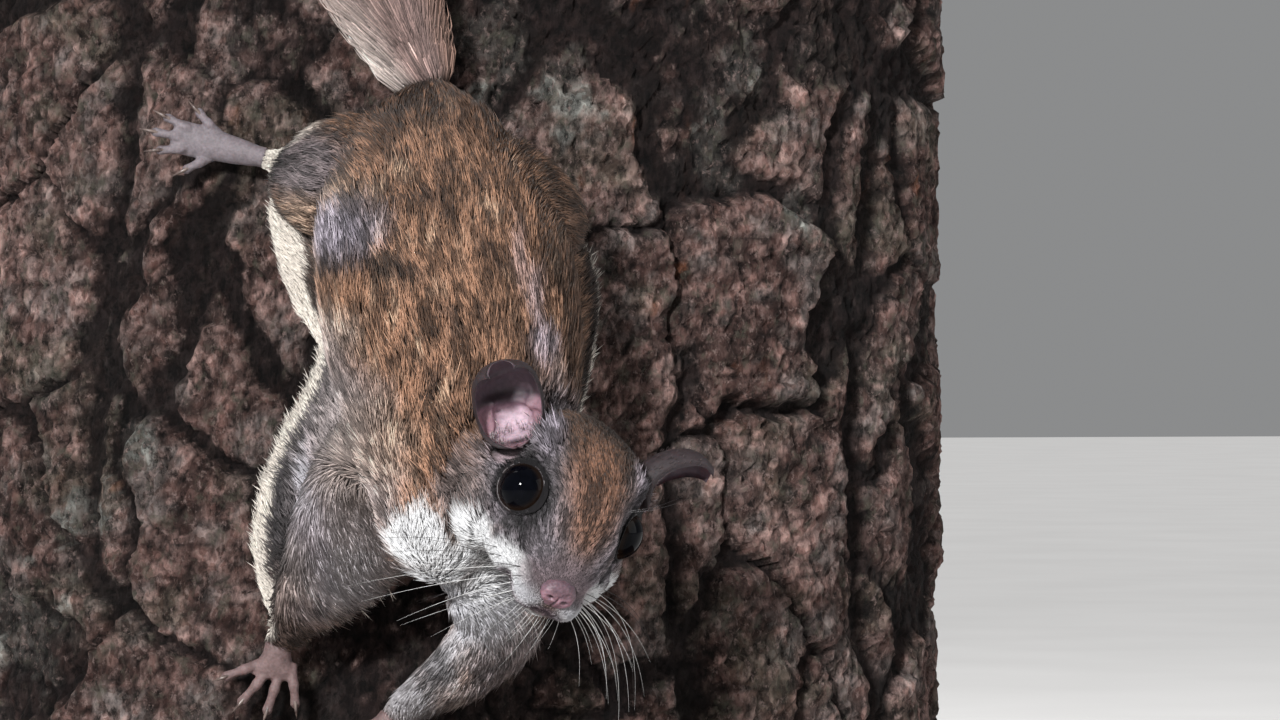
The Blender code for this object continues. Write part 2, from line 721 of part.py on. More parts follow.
LEFT_MEMBRANE_ROOT = [
    on_bark(0.0, 157.0, 6.0),
    on_bark(-1.0, 152.0, 9.0),
    on_bark(-3.0, 145.0, 11.0),
    on_bark(-4.0, 134.0, 12.0),
    on_bark(-5.0, 122.0, 12.0),
    on_bark(-6.0, 110.0, 12.0),
    on_bark(-6.0, 98.0, 12.0),
    on_bark(-6.0, 88.0, 11.0),
    on_bark(-9.0, 80.5, 8.0),
    on_bark(-14.0, 75.0, 5.5),
]
# The tail's bone line and the half width of its coat: x, height off the bark, z, half width.
TAIL = [
    (-17.4, 10.5, 178.6, 8.0),
    (-20.4, 8.2, 186.0, 10.4),
    (-24.6, 6.6, 197.0, 13.2),
    (-29.6, 6.0, 210.0, 14.0),
    (-34.0, 5.8, 224.0, 13.8),
    (-37.0, 5.8, 238.0, 12.8),
    (-38.4, 6.0, 252.0, 10.6),
    (-38.4, 6.6, 264.0, 6.4),
]
TAIL_HALF = 14.0
TAIL_ROWS = 10
# Where each row's locks lie: share of the half width, and layer above or below the bone.
LOCK_PLACES = ((-1.0, 0.0), (1.0, 0.0), (-0.55, 1.0), (0.55, 1.0), (0.0, -1.0))
LOCK_LENGTH = 18.0
LOCK_WIDTH = 7.4
LOCK_THICK = 1.5


def lock(name, root, knee, tip, flat, width, thick):
    """A flat tapered lock along a bent line from root to tip, lying flat against flat."""
    stations = [
        (*root, width * 0.34, thick * 0.5),
        (*knee, width * 0.5, thick * 0.5),
        (*(knee.lerp(tip, 0.55) + (knee - root.lerp(tip, 0.5)) * 0.25), width * 0.34, thick * 0.4),
        (*tip, 0.12, 0.12),
    ]
    return loft(name, stations, 4, 4, up=flat, square=2.0)


def tail(looks):
    """The flat tail: a slim core with overlapping locks that sweep out and back on both sides."""
    draw = random.Random(SEED)
    core = loft("tail_core", [(*on_bark(x, z, o), half * 0.42, 2.4) for x, o, z, half in TAIL], 14, 8, up=BACK)
    pieces = [core]
    for row in range(TAIL_ROWS):
        share = 0.01 + 0.91 * row / (TAIL_ROWS - 1)
        x, height, z, half = curve_values(TAIL, share)
        x2, height2, z2, _ = curve_values(TAIL, min(share + 0.03, 1.0))
        place = on_bark(x, z, height)
        along = (on_bark(x2, z2, height2) - place).normalized()
        out = (BACK - along * BACK.dot(along)).normalized()
        side = along.cross(out)
        reach = LOCK_LENGTH * (0.45 + 0.55 * half / TAIL_HALF)
        for across, level in LOCK_PLACES:
            start = place + side * across * half * 0.34 + out * level * 1.3
            run = reach * draw.uniform(0.92, 1.08)
            spread = half * across * draw.uniform(0.93, 1.03)
            tip = place + along * run + side * spread + out * level * 0.4
            knee = start.lerp(tip, 0.45) + side * across * half * 0.10
            pieces.append(lock("lock", start, knee, tip, out, LOCK_WIDTH, LOCK_THICK))
    return union("tail", pieces, looks["fur_tail"], "MANIFOLD")


def hashed(cells, seed):
    """Random numbers from 0 to 1 that depend only on whole-number cells and a seed."""
    cells = cells.astype(np.uint64)
    mixed = np.full(cells.shape[:-1], seed * 2654435761 % 2**32, np.uint64)
    for axis, prime in zip(range(cells.shape[-1]), (73856093, 19349663, 83492791)):
        mixed ^= cells[..., axis] * np.uint64(prime)
        mixed ^= mixed >> np.uint64(15)
        mixed = mixed * np.uint64(2246822519) & np.uint64(0xFFFFFFFF)
    mixed ^= mixed >> np.uint64(13)
    mixed = mixed * np.uint64(3266489917) & np.uint64(0xFFFFFFFF)
    return (mixed >> np.uint64(8)).astype(float) / 2**24


def value_noise(places, cell, seed):
    """Noise from -1 to 1: random corners of a grid of cells, blended by smooth steps."""
    scaled = places / cell + 4096.0
    base = np.floor(scaled)
    part = scaled - base
    part = part * part * (3.0 - 2.0 * part)
    base = base.astype(np.int64)
    total = np.zeros(len(places))
    for corner in range(4):
        step = np.array([corner & 1, corner >> 1 & 1])
        total += np.prod(np.where(step, part, 1.0 - part), axis=1) * hashed(base + step, seed)
    return total * 2.0 - 1.0


def fractal(places, cell, seed):
    """Three noises, each with cells half the size and half the strength of the one before."""
    return sum(value_noise(places, cell / 2**k, seed + k) / 2**k for k in range(3)) / 1.6


def smooth_step(low, high, value):
    """0 at low, 1 at high, and a smooth curve between."""
    share = np.clip((value - low) / (high - low), 0.0, 1.0)
    return share * share * (3.0 - 2.0 * share)


def plates(places, seed):
    """Plates of unit size on a plane: the gap between the nearest two middles, and a number for the nearest."""
    base = np.floor(places + 4096.0).astype(np.int64)
    nearest = np.full(len(places), 9.0)
    second = np.full(len(places), 9.0)
    owner = np.zeros(len(places))
    for dx in (-1, 0, 1):
        for dy in (-1, 0, 1):
            cell = base + (dx, dy)
            middle = cell - 4096.0 + 0.5
            middle[:, 0] += (hashed(cell, seed) - 0.5) * 0.9
            middle[:, 1] += (hashed(cell, seed + 1) - 0.5) * 0.9
            away = np.linalg.norm(places - middle, axis=1)
            closer = away < nearest
            second = np.where(closer, nearest, np.minimum(second, away))
            owner = np.where(closer, hashed(cell, seed + 2), owner)
            nearest = np.where(closer, away, nearest)
    return second - nearest, owner


def bark_depth(x, arc, z):
    """Depth of the bark below its plates: cracks, hollows and furrows, and flat near the animal's feet."""
    flat = np.stack([arc, z], axis=-1)
    warp = np.stack([fractal(flat, 34.0, 91), fractal(flat, 34.0, 92)], axis=-1) * 12.0
    ragged = np.stack([fractal(flat, 9.0, 88), fractal(flat, 9.0, 89)], axis=-1) * 3.4
    gap, owner = plates((flat + warp + ragged) / BARK_PLATE, 95)
    width = BARK_CRACK * (0.30 + 1.5 * smooth_step(-0.6, 0.7, value_noise(flat, 29.0, 90)))
    crack = 1.0 - smooth_step(0.30, 1.0, gap / width)
    hollow = smooth_step(0.16, 0.34, fractal(flat + warp * 0.5 + ragged * 1.4, 27.0, 87))
    crack = np.maximum(crack, 0.78 * hollow)
    depth = crack * BARK_FISSURE + owner * BARK_STEP * (1.0 - crack)
    for place, wide, low, high in BARK_FURROWS:
        line = place + 3.0 * np.sin(z / 23.0) + warp[:, 0] * 0.3 + ragged[:, 0] * 0.7
        bell = np.exp(-(((x - line) / wide) ** 2))
        bell = bell * smooth_step(low - 15.0, low, z) * (1.0 - smooth_step(high, high + 15.0, z))
        depth = depth + bell * BARK_FISSURE * (1.0 - crack)
        crack = np.maximum(crack, bell)
    still = np.ones(len(x))
    for spot_x, spot_z, reach in BARK_CALM:
        still = np.minimum(still, np.clip(np.hypot(x - spot_x, z - spot_z) / reach * 1.6 - 0.6, 0.0, 1.0))
    return depth * still + BARK_GRAIN * (0.25 + 0.75 * still)


def trunk(looks):
    """Half a log: an oval front of plated bark between two sawn ends, with a flat sawn back.

    The front is made on a fine grid, and the log is then thinned to the wanted number of faces.
    """
    columns, rows = 186, 118
    turns = np.pi * np.arange(columns + 1) / columns
    across, ahead = -np.cos(turns), np.sin(turns)
    size = (np.abs(across) ** TRUNK_ROUND + np.abs(ahead) ** TRUNK_ROUND) ** (-1.0 / TRUNK_ROUND)
    across, ahead = across * size, ahead * size
    edge = np.minimum(np.minimum(np.arange(columns + 1), np.arange(columns, -1, -1)) / 7.0, 1.0)
    heights = TRUNK_FOOT + TRUNK_LENGTH * np.arange(rows + 1) / rows
    arc, z = (grid.reshape(-1) for grid in np.meshgrid(np.arctan2(across, ahead) * 88.0, heights))
    x = np.tile(across * TRUNK_HALF_WIDTH, rows + 1)
    y = TRUNK_BACK - np.tile(ahead * TRUNK_DEPTH, rows + 1)
    depth = bark_depth(x, arc, z) * np.tile(edge, rows + 1)
    reach = np.maximum(np.hypot(x, y - TRUNK_BACK), 1e-6)
    points = np.stack([x * (1.0 - depth / reach), y - (y - TRUNK_BACK) * depth / reach, z], axis=-1).tolist()
    width = columns + 1
    corner = np.add.outer(np.arange(rows) * width, np.arange(columns)).reshape(-1)
    faces = np.stack([corner, corner + 1, corner + width + 1, corner + width], axis=-1).tolist()
    top = rows * width
    for start, height in ((0, TRUNK_FOOT), (top, TRUNK_FOOT + TRUNK_LENGTH)):
        points.append((0.0, TRUNK_BACK - 8.0, height))
        pith = len(points) - 1
        faces += [(start + i, start + i + 1, pith) for i in range(columns)]
        faces.append((start, start + columns, pith))
    side = [j * width for j in range(rows + 1)]
    other = [j * width + columns for j in range(rows + 1)]
    for j in range(rows):
        faces.append((side[j], other[j], other[j + 1], side[j + 1]))
    log = new_object("trunk", points, faces, looks["bark"])
    work = bmesh.new()
    work.from_mesh(log.data)
    bmesh.ops.triangulate(work, faces=work.faces)
    count = len(work.faces)
    work.to_mesh(log.data)
    work.free()
    thin = log.modifiers.new("thin", "DECIMATE")
    thin.ratio = BARK_FACES / count
    apply_modifiers(log)
    for vertex in log.data.vertices:
        place = vertex.co
        for level in (TRUNK_FOOT, TRUNK_FOOT + TRUNK_LENGTH):
            if abs(place.z - level * MM) < 0.5 * MM:
                place.z = level * MM
        if abs(place.y - TRUNK_BACK * MM) < 0.5 * MM:
            place.y = TRUNK_BACK * MM
    return log


def stand(looks):
    """The base board with softened edges, and its two rods."""
    mesh = bpy.data.meshes.new("stand_base")
    work = bmesh.new()
    place = Matrix.Translation((0, 0, BASE_THICK / 2 * MM))
    place = place @ Matrix.Diagonal((BASE_WIDTH * MM, BASE_DEPTH * MM, BASE_THICK * MM, 1.0))
    bmesh.ops.create_cube(work, size=1.0, matrix=place)
    work.to_mesh(mesh)
    work.free()
    board = bpy.data.objects.new("stand_base", mesh)
    bpy.context.scene.collection.objects.link(board)
    mesh.materials.append(looks["board"])
    soften = board.modifiers.new("soften", "BEVEL")
    soften.width = 2.5 * MM
    soften.segments = 2
    for number, side in ((1, -1), (2, 1)):
        rod_mesh = bpy.data.meshes.new(f"stand_rod_{number}")
        work = bmesh.new()
        length = (ROD_LENGTH - 2 * GAP) * MM
        bmesh.ops.create_cone(
            work, cap_ends=True, segments=20, radius1=ROD_RADIUS * MM, radius2=ROD_RADIUS * MM, depth=length
        )
        work.to_mesh(rod_mesh)
        work.free()
        rod = bpy.data.objects.new(f"stand_rod_{number}", rod_mesh)
        bpy.context.scene.collection.objects.link(rod)
        rod.location = Vector((side * ROD_SPACING / 2, ROD_BACK, BASE_THICK + ROD_LENGTH / 2)) * MM
        rod_mesh.materials.append(looks["steel"])
        rod_mesh.shade_smooth()
        rod_mesh.set_sharp_from_angle(angle=math.radians(40))


def main():
    """Builds every node of the model."""
    for thing in list(bpy.data.objects):
        bpy.data.objects.remove(thing)
    looks = finishes()
    log = trunk(looks)
    stand(looks)
    nodes = part_form(fused_form(), looks)
    nodes["head"], eyes = carve_face(nodes["head"], looks)
    for name in ("torso", "foreleg_right", "foreleg_left", "hindleg_right", "hindleg_left"):
        trim(nodes[name], log)
    for side, name in ((-1, "ear_right"), (1, "ear_left")):
        _, plug = ear(side, name, looks)
        trim(nodes["head"], plug)
        trim(nodes["neck"], plug)
        remove(plug)
    front_palm, hind_palm = (3.4, 4.1, 2.2), (13.5, 3.1, 2.2)
    paws = [
        (
            "forepaw_right",
            paw(
                "forepaw_right",
                on_bark(-42.6, 81.6, 3.0),
                on_bark(-43.0, 79.0, 2.6),
                (-58, -30, -8, 16),
                (6.0, 7.2, 7.0, 6.0),
                1.05,
                front_palm,
                CLAW_FRONT,
                looks,
            ),
            nodes["foreleg_right"],
        ),
        (
            "forepaw_left",
            paw(
                "forepaw_left",
                on_bark(-22.8, 68.4, 3.0),
                on_bark(-24.4, 66.2, 2.6),
                (-40, -14, 10, 36),
                (6.0, 7.2, 7.0, 6.0),
                1.05,
                front_palm,
                CLAW_FRONT,
                looks,
            ),
            nodes["foreleg_left"],
        ),
        (
            "hindfoot_right",
            paw(
                "hindfoot_right",
                on_bark(-45.0, 167.8, 3.2),
                on_bark(-48.0, 168.6, 2.8),
                (-34, -14, 2, 18, 40),
                (4.6, 6.4, 6.8, 6.4, 4.6),
                1.0,
                hind_palm,
                CLAW_HIND,
                looks,
            ),
            nodes["hindleg_right"],
        ),
        (
            "hindfoot_left",
            paw(
                "hindfoot_left",
                on_bark(0.4, 161.0, 2.8),
                on_bark(1.6, 158.4, 2.6),
                (-34, -14, 2, 18, 40),
                (4.6, 6.4, 6.8, 6.4, 4.6),
                1.0,
                hind_palm,
                CLAW_HIND,
                looks,
            ),
            nodes["hindleg_left"],
        ),
    ]
    for name, made, limb in paws:
        nodes[name] = trim(made, limb, log)
    right = membrane("membrane_right", RIGHT_MEMBRANE_ROOT, RIGHT_MEMBRANE_RIM, 2.6, looks)
    trim(right, nodes["torso"], nodes["foreleg_right"], nodes["hindleg_right"], nodes["forepaw_right"],
         nodes["hindfoot_right"], log)
    left = membrane("membrane_left", LEFT_MEMBRANE_ROOT, LEFT_MEMBRANE_RIM, 2.6, looks)
    trim(left, nodes["torso"], nodes["neck"], nodes["foreleg_left"], nodes["hindleg_left"],
         nodes["hindfoot_left"], nodes["forepaw_left"], log)
    trim(tail(looks), nodes["torso"], nodes["hindleg_right"], log)


main()
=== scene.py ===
"""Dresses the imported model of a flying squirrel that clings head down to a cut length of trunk.

The coat is solid mesh: one fused skin carries the lie of the fur and its markings, and thin closed tufts
grow from it. Sizes are in millimetres until a mesh is made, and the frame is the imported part's own.
"""

import logging
import math
from dataclasses import dataclass, field, replace
from enum import Enum
from typing import Callable

import bmesh
import bpy
import numpy as np
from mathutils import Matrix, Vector


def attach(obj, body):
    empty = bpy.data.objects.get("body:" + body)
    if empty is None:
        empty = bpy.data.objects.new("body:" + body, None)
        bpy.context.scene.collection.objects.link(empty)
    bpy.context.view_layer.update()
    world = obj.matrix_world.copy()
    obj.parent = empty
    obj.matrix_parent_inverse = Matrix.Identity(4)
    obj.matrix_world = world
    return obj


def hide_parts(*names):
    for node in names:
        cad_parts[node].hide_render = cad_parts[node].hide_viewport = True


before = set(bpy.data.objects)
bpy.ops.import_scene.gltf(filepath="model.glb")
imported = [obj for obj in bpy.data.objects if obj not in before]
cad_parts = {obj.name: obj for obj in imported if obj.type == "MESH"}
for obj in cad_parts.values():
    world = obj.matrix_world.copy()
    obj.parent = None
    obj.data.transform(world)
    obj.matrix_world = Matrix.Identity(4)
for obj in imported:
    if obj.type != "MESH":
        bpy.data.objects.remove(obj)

Array = np.ndarray
Row = tuple[float, ...]
Material = bpy.types.Material
Socket = bpy.types.NodeSocket
MM = 0.001
SEED = 11
BACK: Row = (0.17, -0.985, 0.0)
BAKE_MAP = "OFBake"
TONE = "tone"
log = logging.getLogger("squirrel")

# The unwrap: millimetres of body and of tail that it spans, where the tail starts on it, and the places of a
# tuft's and of a tail hair's points on a small patch, from base to tip.
MAP_SPAN = 330.0
TAIL_MAP_SPAN = 600.0
TAIL_MAP_START = (0.5, 0.2)
HAIR_PATCH = 0.003
TUFT_MAP = HAIR_PATCH * np.array([(0.5, 0.0), (0.0, 0.5), (1.0, 0.5), (0.5, 0.6), (0.5, 1.0)])
TAIL_HAIR_MAP = HAIR_PATCH * np.array(
    [(0.5, 0.0), (0.0, 0.4), (1.0, 0.4), (0.5, 0.5), (0.2, 0.7), (0.8, 0.7), (0.5, 0.8), (0.5, 1.0)]
)

# Noises: a shift that keeps cells above zero, factors and mask that mix whole numbers into chance, a distance
# past any cell's middle, how far a middle strays, and about what a sum of octaves reaches.
CELL_SHIFT = 4096.0
CELL_PRIMES = (73856093, 19349663, 83492791)
SEED_PRIME = 2654435761
MIXERS = (2246822519, 3266489917)
WORD = 0xFFFFFFFF
FAR_CELLS = 9.0
PLATE_JITTER = 0.9
OCTAVE_SUM = 1.6
POLE_REACH = 0.45


def unit(vectors: Array) -> Array:
    """Vectors scaled to length one."""
    return vectors / np.maximum(np.linalg.norm(vectors, axis=-1, keepdims=True), 1e-9)


def dot(a: Array, b: Array) -> Array:
    """Dot product along the last axis."""
    return np.sum(a * b, axis=-1)


def ease(low: float, high: float, value: Array) -> Array:
    """Smooth step: 0 at low, 1 at high, and 3t squared minus 2t cubed between."""
    share = np.clip((value - low) / (high - low), 0.0, 1.0)
    return share * share * (3.0 - 2.0 * share)


def bell(value: Array, width: float) -> Array:
    """Bell curve: e to the power of minus value over width, squared."""
    return np.exp(-((value / width) ** 2))


def blend(a: Array, b: Array, share: Array) -> Array:
    """Weighted mean of a and b, with the share of b given for each row."""
    return a + (b - a) * share[..., None]


def distances(points: Array, others: Array) -> Array:
    """Distances from points to others: the root of both lengths squared less twice their product."""
    square = dot(points, points)[:, None] + dot(others, others) - 2.0 * points @ others.T
    return np.sqrt(np.maximum(square, 0.0))


def curve(rows: Array, shares: Array) -> Array:
    """Reads rows of numbers at shares from 0 to 1 along a Catmull-Rom curve through them.

    Args:
        rows: one row of values for each station.
        shares: where to read, from the first station to the last.

    Returns:
        One row of values for each share.
    """
    rows = np.asarray(rows, float)
    last = len(rows) - 1
    place = np.clip(shares, 0.0, 1.0) * last
    first = np.minimum(place.astype(int), last - 1)
    t = (place - first)[:, None]
    p, q, r, s = (rows[np.clip(first + step, 0, last)] for step in (-1, 0, 1, 2))
    cubic = (3 * q - p - 3 * r + s) * t**3
    return 0.5 * (2 * q + (r - p) * t + (2 * p - 5 * q + 4 * r - s) * t * t + cubic)


def hashed(cells: Array, seed: int) -> Array:
    """Random numbers from 0 to 1 that depend only on whole-number cells and a seed."""
    cells = cells.astype(np.uint64)
    mixed = np.full(cells.shape[:-1], seed * SEED_PRIME % 2**32, np.uint64)
    for axis, prime in zip(range(cells.shape[-1]), CELL_PRIMES):
        mixed ^= cells[..., axis] * np.uint64(prime)
        mixed ^= mixed >> np.uint64(15)
        mixed = mixed * np.uint64(MIXERS[0]) & np.uint64(WORD)
    mixed ^= mixed >> np.uint64(13)
    mixed = mixed * np.uint64(MIXERS[1]) & np.uint64(WORD)
    return (mixed >> np.uint64(8)).astype(float) / 2**24


def noise(points: Array, cell: float, seed: int) -> Array:
    """Value noise from -1 to 1: random corners of a grid of cells, blended by smooth steps.

    Args:
        points: places in two or three dimensions.
        cell: size of a cell in the same unit.
        seed: chooses the pattern.

    Returns:
        One value for each place.
    """
    scaled = points / cell + CELL_SHIFT
    base = np.floor(scaled)
    part = scaled - base
    part = part * part * (3.0 - 2.0 * part)
    base = base.astype(np.int64)
    total = np.zeros(len(points))
    size = points.shape[1]
    for corner in range(2**size):
        step = np.array([corner >> axis & 1 for axis in range(size)])
        weight = np.prod(np.where(step, part, 1.0 - part), axis=1)
        total += weight * hashed(base + step, seed)
    return total * 2.0 - 1.0


def fractal(points: Array, cell: float, seed: int, octaves: int = 4) -> Array:
    """Sum of noises, each with cells half the size and half the strength of the one before."""
    total = np.zeros(len(points))
    for octave in range(octaves):
        total += noise(points, cell / 2**octave, seed + octave) / 2**octave
    return total / OCTAVE_SUM


def plates(points: Array, seed: int) -> tuple[Array, Array]:
    """Voronoi plates on a plane of unit cells, each with one jittered middle.

    Args:
        points: places on the plane, in cells.
        seed: chooses the pattern.

    Returns:
        The gap between the distances to the nearest two middles, and a random number for the nearest plate.
    """
    base = np.floor(points + CELL_SHIFT).astype(np.int64)
    nearest = np.full(len(points), FAR_CELLS)
    second = nearest.copy()
    owner = np.zeros(len(points))
    for dx in (-1, 0, 1):
        for dy in (-1, 0, 1):
            cell = base + (dx, dy)
            middle = cell - CELL_SHIFT + 0.5
            middle[:, 0] += (hashed(cell, seed) - 0.5) * PLATE_JITTER
            middle[:, 1] += (hashed(cell, seed + 1) - 0.5) * PLATE_JITTER
            away = np.linalg.norm(points - middle, axis=1)
            closer = away < nearest
            second = np.where(closer, nearest, np.minimum(second, away))
            owner = np.where(closer, hashed(cell, seed + 2), owner)
            nearest = np.where(closer, away, nearest)
    return second - nearest, owner


def locks(points: Array, cell: Array, seed: int) -> tuple[Array, Array, Array]:
    """Gathers hairs into locks: cells of space, each with one jittered middle that its hairs lean to.

    Args:
        points: roots of the hairs.
        cell: size of a cell for each root.
        seed: chooses the pattern.

    Returns:
        The way to the nearest middle, that way's length in cells, and a random number for the lock.
    """
    scaled = points / cell[:, None] + CELL_SHIFT
    base = np.floor(scaled).astype(np.int64)
    nearest = np.full(len(points), FAR_CELLS)
    offset = np.zeros(points.shape)
    owner = np.zeros(len(points))
    for corner in range(27):
        place = base + (corner // 9 - 1, corner // 3 % 3 - 1, corner % 3 - 1)
        middle = place + np.stack([hashed(place, seed + axis) for axis in range(3)], axis=-1)
        away = np.linalg.norm(middle - scaled, axis=1)
        closer = away < nearest
        offset = np.where(closer[:, None], middle - scaled, offset)
        owner = np.where(closer, hashed(place, seed + 3), owner)
        nearest = np.where(closer, away, nearest)
    return offset * cell[:, None], nearest, owner


@dataclass
class Surface:
    """Points in millimetres with the quads and triangles between them."""

    points: Array
    quads: Array = field(default_factory=lambda: np.zeros((0, 4), np.int64))
    triangles: Array = field(default_factory=lambda: np.zeros((0, 3), np.int64))

    def split(self) -> Array:
        """All faces as triangles."""
        first, second = self.quads[:, [0, 1, 2]], self.quads[:, [0, 2, 3]]
        return np.concatenate([self.triangles, first, second])

    def outward(self) -> "Surface":
        """The same surface with its faces turned out, by the sign of the volume that it encloses."""
        a, b, c = (self.points[self.split()[:, k]] for k in range(3))
        if dot(a, np.cross(b, c)).sum() < 0.0:
            return Surface(self.points, self.quads[:, ::-1], self.triangles[:, ::-1])
        return self

    def normals(self) -> Array:
        """Normals at the points: the sum of the areas of the faces round each, as vectors."""
        faces = self.split()
        a, b, c = (self.points[faces[:, k]] for k in range(3))
        area = np.cross(b - a, c - a)
        total = np.zeros_like(self.points)
        for axis in range(3):
            for k in range(3):
                total[:, axis] += np.bincount(faces[:, k], area[:, axis], len(self.points))
        return unit(total)


def joined(surfaces: list[Surface]) -> Surface:
    """Several surfaces as one, side by side."""
    starts = np.cumsum([0] + [len(s.points) for s in surfaces[:-1]])
    return Surface(
        np.concatenate([s.points for s in surfaces]),
        np.concatenate([s.quads + start for s, start in zip(surfaces, starts)]),
        np.concatenate([s.triangles + start for s, start in zip(surfaces, starts)]),
    )


def grid_quads(index: Array, around: bool = False, over: bool = False) -> Array:
    """Quads between neighbours on a grid of point numbers.

    Args:
        index: the numbers of the points, as rows by columns.
        around: whether each row closes on itself.
        over: whether the last row meets the first.

    Returns:
        Four point numbers for each quad.
    """
    if around:
        index = np.concatenate([index, index[:, :1]], axis=1)
    if over:
        index = np.concatenate([index, index[:1]])
    return np.stack([index[:-1, :-1], index[:-1, 1:], index[1:, 1:], index[1:, :-1]], axis=-1).reshape(-1, 4)


def tube(rings: Array, first: Array, last: Array) -> Surface:
    """A closed tube from rings of points, with a pole beyond each end.

    Args:
        rings: points as an array of rings by sides by 3.
        first: the pole before the first ring.
        last: the pole after the last ring.

    Returns:
        The tube with its faces outwards.
    """
    count, sides, _ = rings.shape
    index = np.arange(count * sides).reshape(count, sides)
    beside = np.roll(index, -1, axis=1)
    near, far = np.full(sides, count * sides), np.full(sides, count * sides + 1)
    fans = [np.stack([beside[0], index[0], near], axis=-1), np.stack([index[-1], beside[-1], far], axis=-1)]
    points = np.concatenate([rings.reshape(-1, 3), [first], [last]])
    return Surface(points, grid_quads(index, around=True), np.concatenate(fans)).outward()


def rounded(turns: Array, square: float) -> tuple[Array, Array]:
    """A rounded oval: cosine and sine with their size raised to the power 2 over square."""
    across, over = np.cos(turns), np.sin(turns)
    power = 2.0 / square
    return np.sign(across) * np.abs(across) ** power, np.sign(over) * np.abs(over) ** power


def framed(rows: Array, up: Row | Array) -> tuple[Array, ...]:
    """Frames along a line.

    Args:
        rows: x, y, z and two sizes for each place on the line.
        up: the way of the second size, before it is laid square to the line.

    Returns:
        Middles, tangents, ways across, ways deep and sizes.
    """
    tangents = unit(np.gradient(rows[:, :3], axis=0))
    deep = unit(np.asarray(up) - tangents * dot(tangents, np.asarray(up))[:, None])
    return rows[:, :3], tangents, np.cross(tangents, deep), deep, rows[:, 3:5]


def swept(frames: tuple[Array, ...], sides: int, square: float = 2.0, reach: Row | None = None) -> Surface:
    """Rounded ovals carried along a line, with a pole beyond each end.

    Args:
        frames: middles, tangents, ways across, ways deep and sizes.
        sides: points on an oval.
        square: how square an oval is, where 2 is round.
        reach: how far the poles stand beyond the ends; otherwise a share of the smaller size there.

    Returns:
        The closed surface.
    """
    middles, tangents, wide, deep, sizes = frames
    across, over = rounded(2 * np.pi * np.arange(sides) / sides, square)
    rings = middles[:, None] + wide[:, None] * (across[:, None] * sizes[:, None, :1])
    rings = rings + deep[:, None] * (over[:, None] * sizes[:, None, 1:])
    near, far = reach or (POLE_REACH * sizes[0].min(), POLE_REACH * sizes[-1].min())
    return tube(rings, middles[0] - tangents[0] * near, middles[-1] + tangents[-1] * far)


def ball(middle: Array, radii: Row, axes: Array, rings: int = 24, sides: int = 36) -> Surface:
    """A closed ellipsoid: its rings are sines of the dip along the first axis.

    Args:
        middle: its centre.
        radii: half its size along each axis.
        axes: three unit vectors as rows.
        rings: number of rings.
        sides: points on a ring.

    Returns:
        The ellipsoid.
    """
    dips = np.pi * np.arange(1, rings) / rings
    turns = 2 * np.pi * np.arange(sides) / sides
    along = np.repeat(np.cos(dips)[:, None], sides, axis=1)
    unit_points = np.stack(
        [along, np.sin(dips)[:, None] * np.cos(turns), np.sin(dips)[:, None] * np.sin(turns)], axis=-1
    )
    placed = middle + (unit_points * np.array(radii)) @ axes
    return tube(placed, middle + axes[0] * radii[0], middle - axes[0] * radii[0])


def fused(surface: Surface, voxel: float, rounds: int) -> Surface:
    """Grows closed surfaces that overlap into one skin of small quads and eases it.

    Args:
        surface: the overlapping surfaces.
        voxel: size of the new faces.
        rounds: how often the points are drawn to the mean of their neighbours.

    Returns:
        The skin.
    """
    mesh = bare_mesh("fusing", surface)
    thing = linked("fusing", mesh)
    remesh = thing.modifiers.new("fuse", "REMESH")
    remesh.mode = "VOXEL"
    remesh.voxel_size = voxel * MM
    smooth = thing.modifiers.new("ease", "SMOOTH")
    smooth.factor = 0.5
    smooth.iterations = rounds
    bpy.context.view_layer.update()
    graph = bpy.context.evaluated_depsgraph_get()
    made = bpy.data.meshes.new_from_object(thing.evaluated_get(graph))
    points = np.empty(len(made.vertices) * 3)
    made.vertices.foreach_get("co", points)
    corners = np.empty(len(made.loops), np.int32)
    made.loops.foreach_get("vertex_index", corners)
    bpy.data.objects.remove(thing)
    bpy.data.meshes.remove(mesh)
    bpy.data.meshes.remove(made)
    return Surface(points.reshape(-1, 3) / MM, corners.reshape(-1, 4).astype(np.int64)).outward()


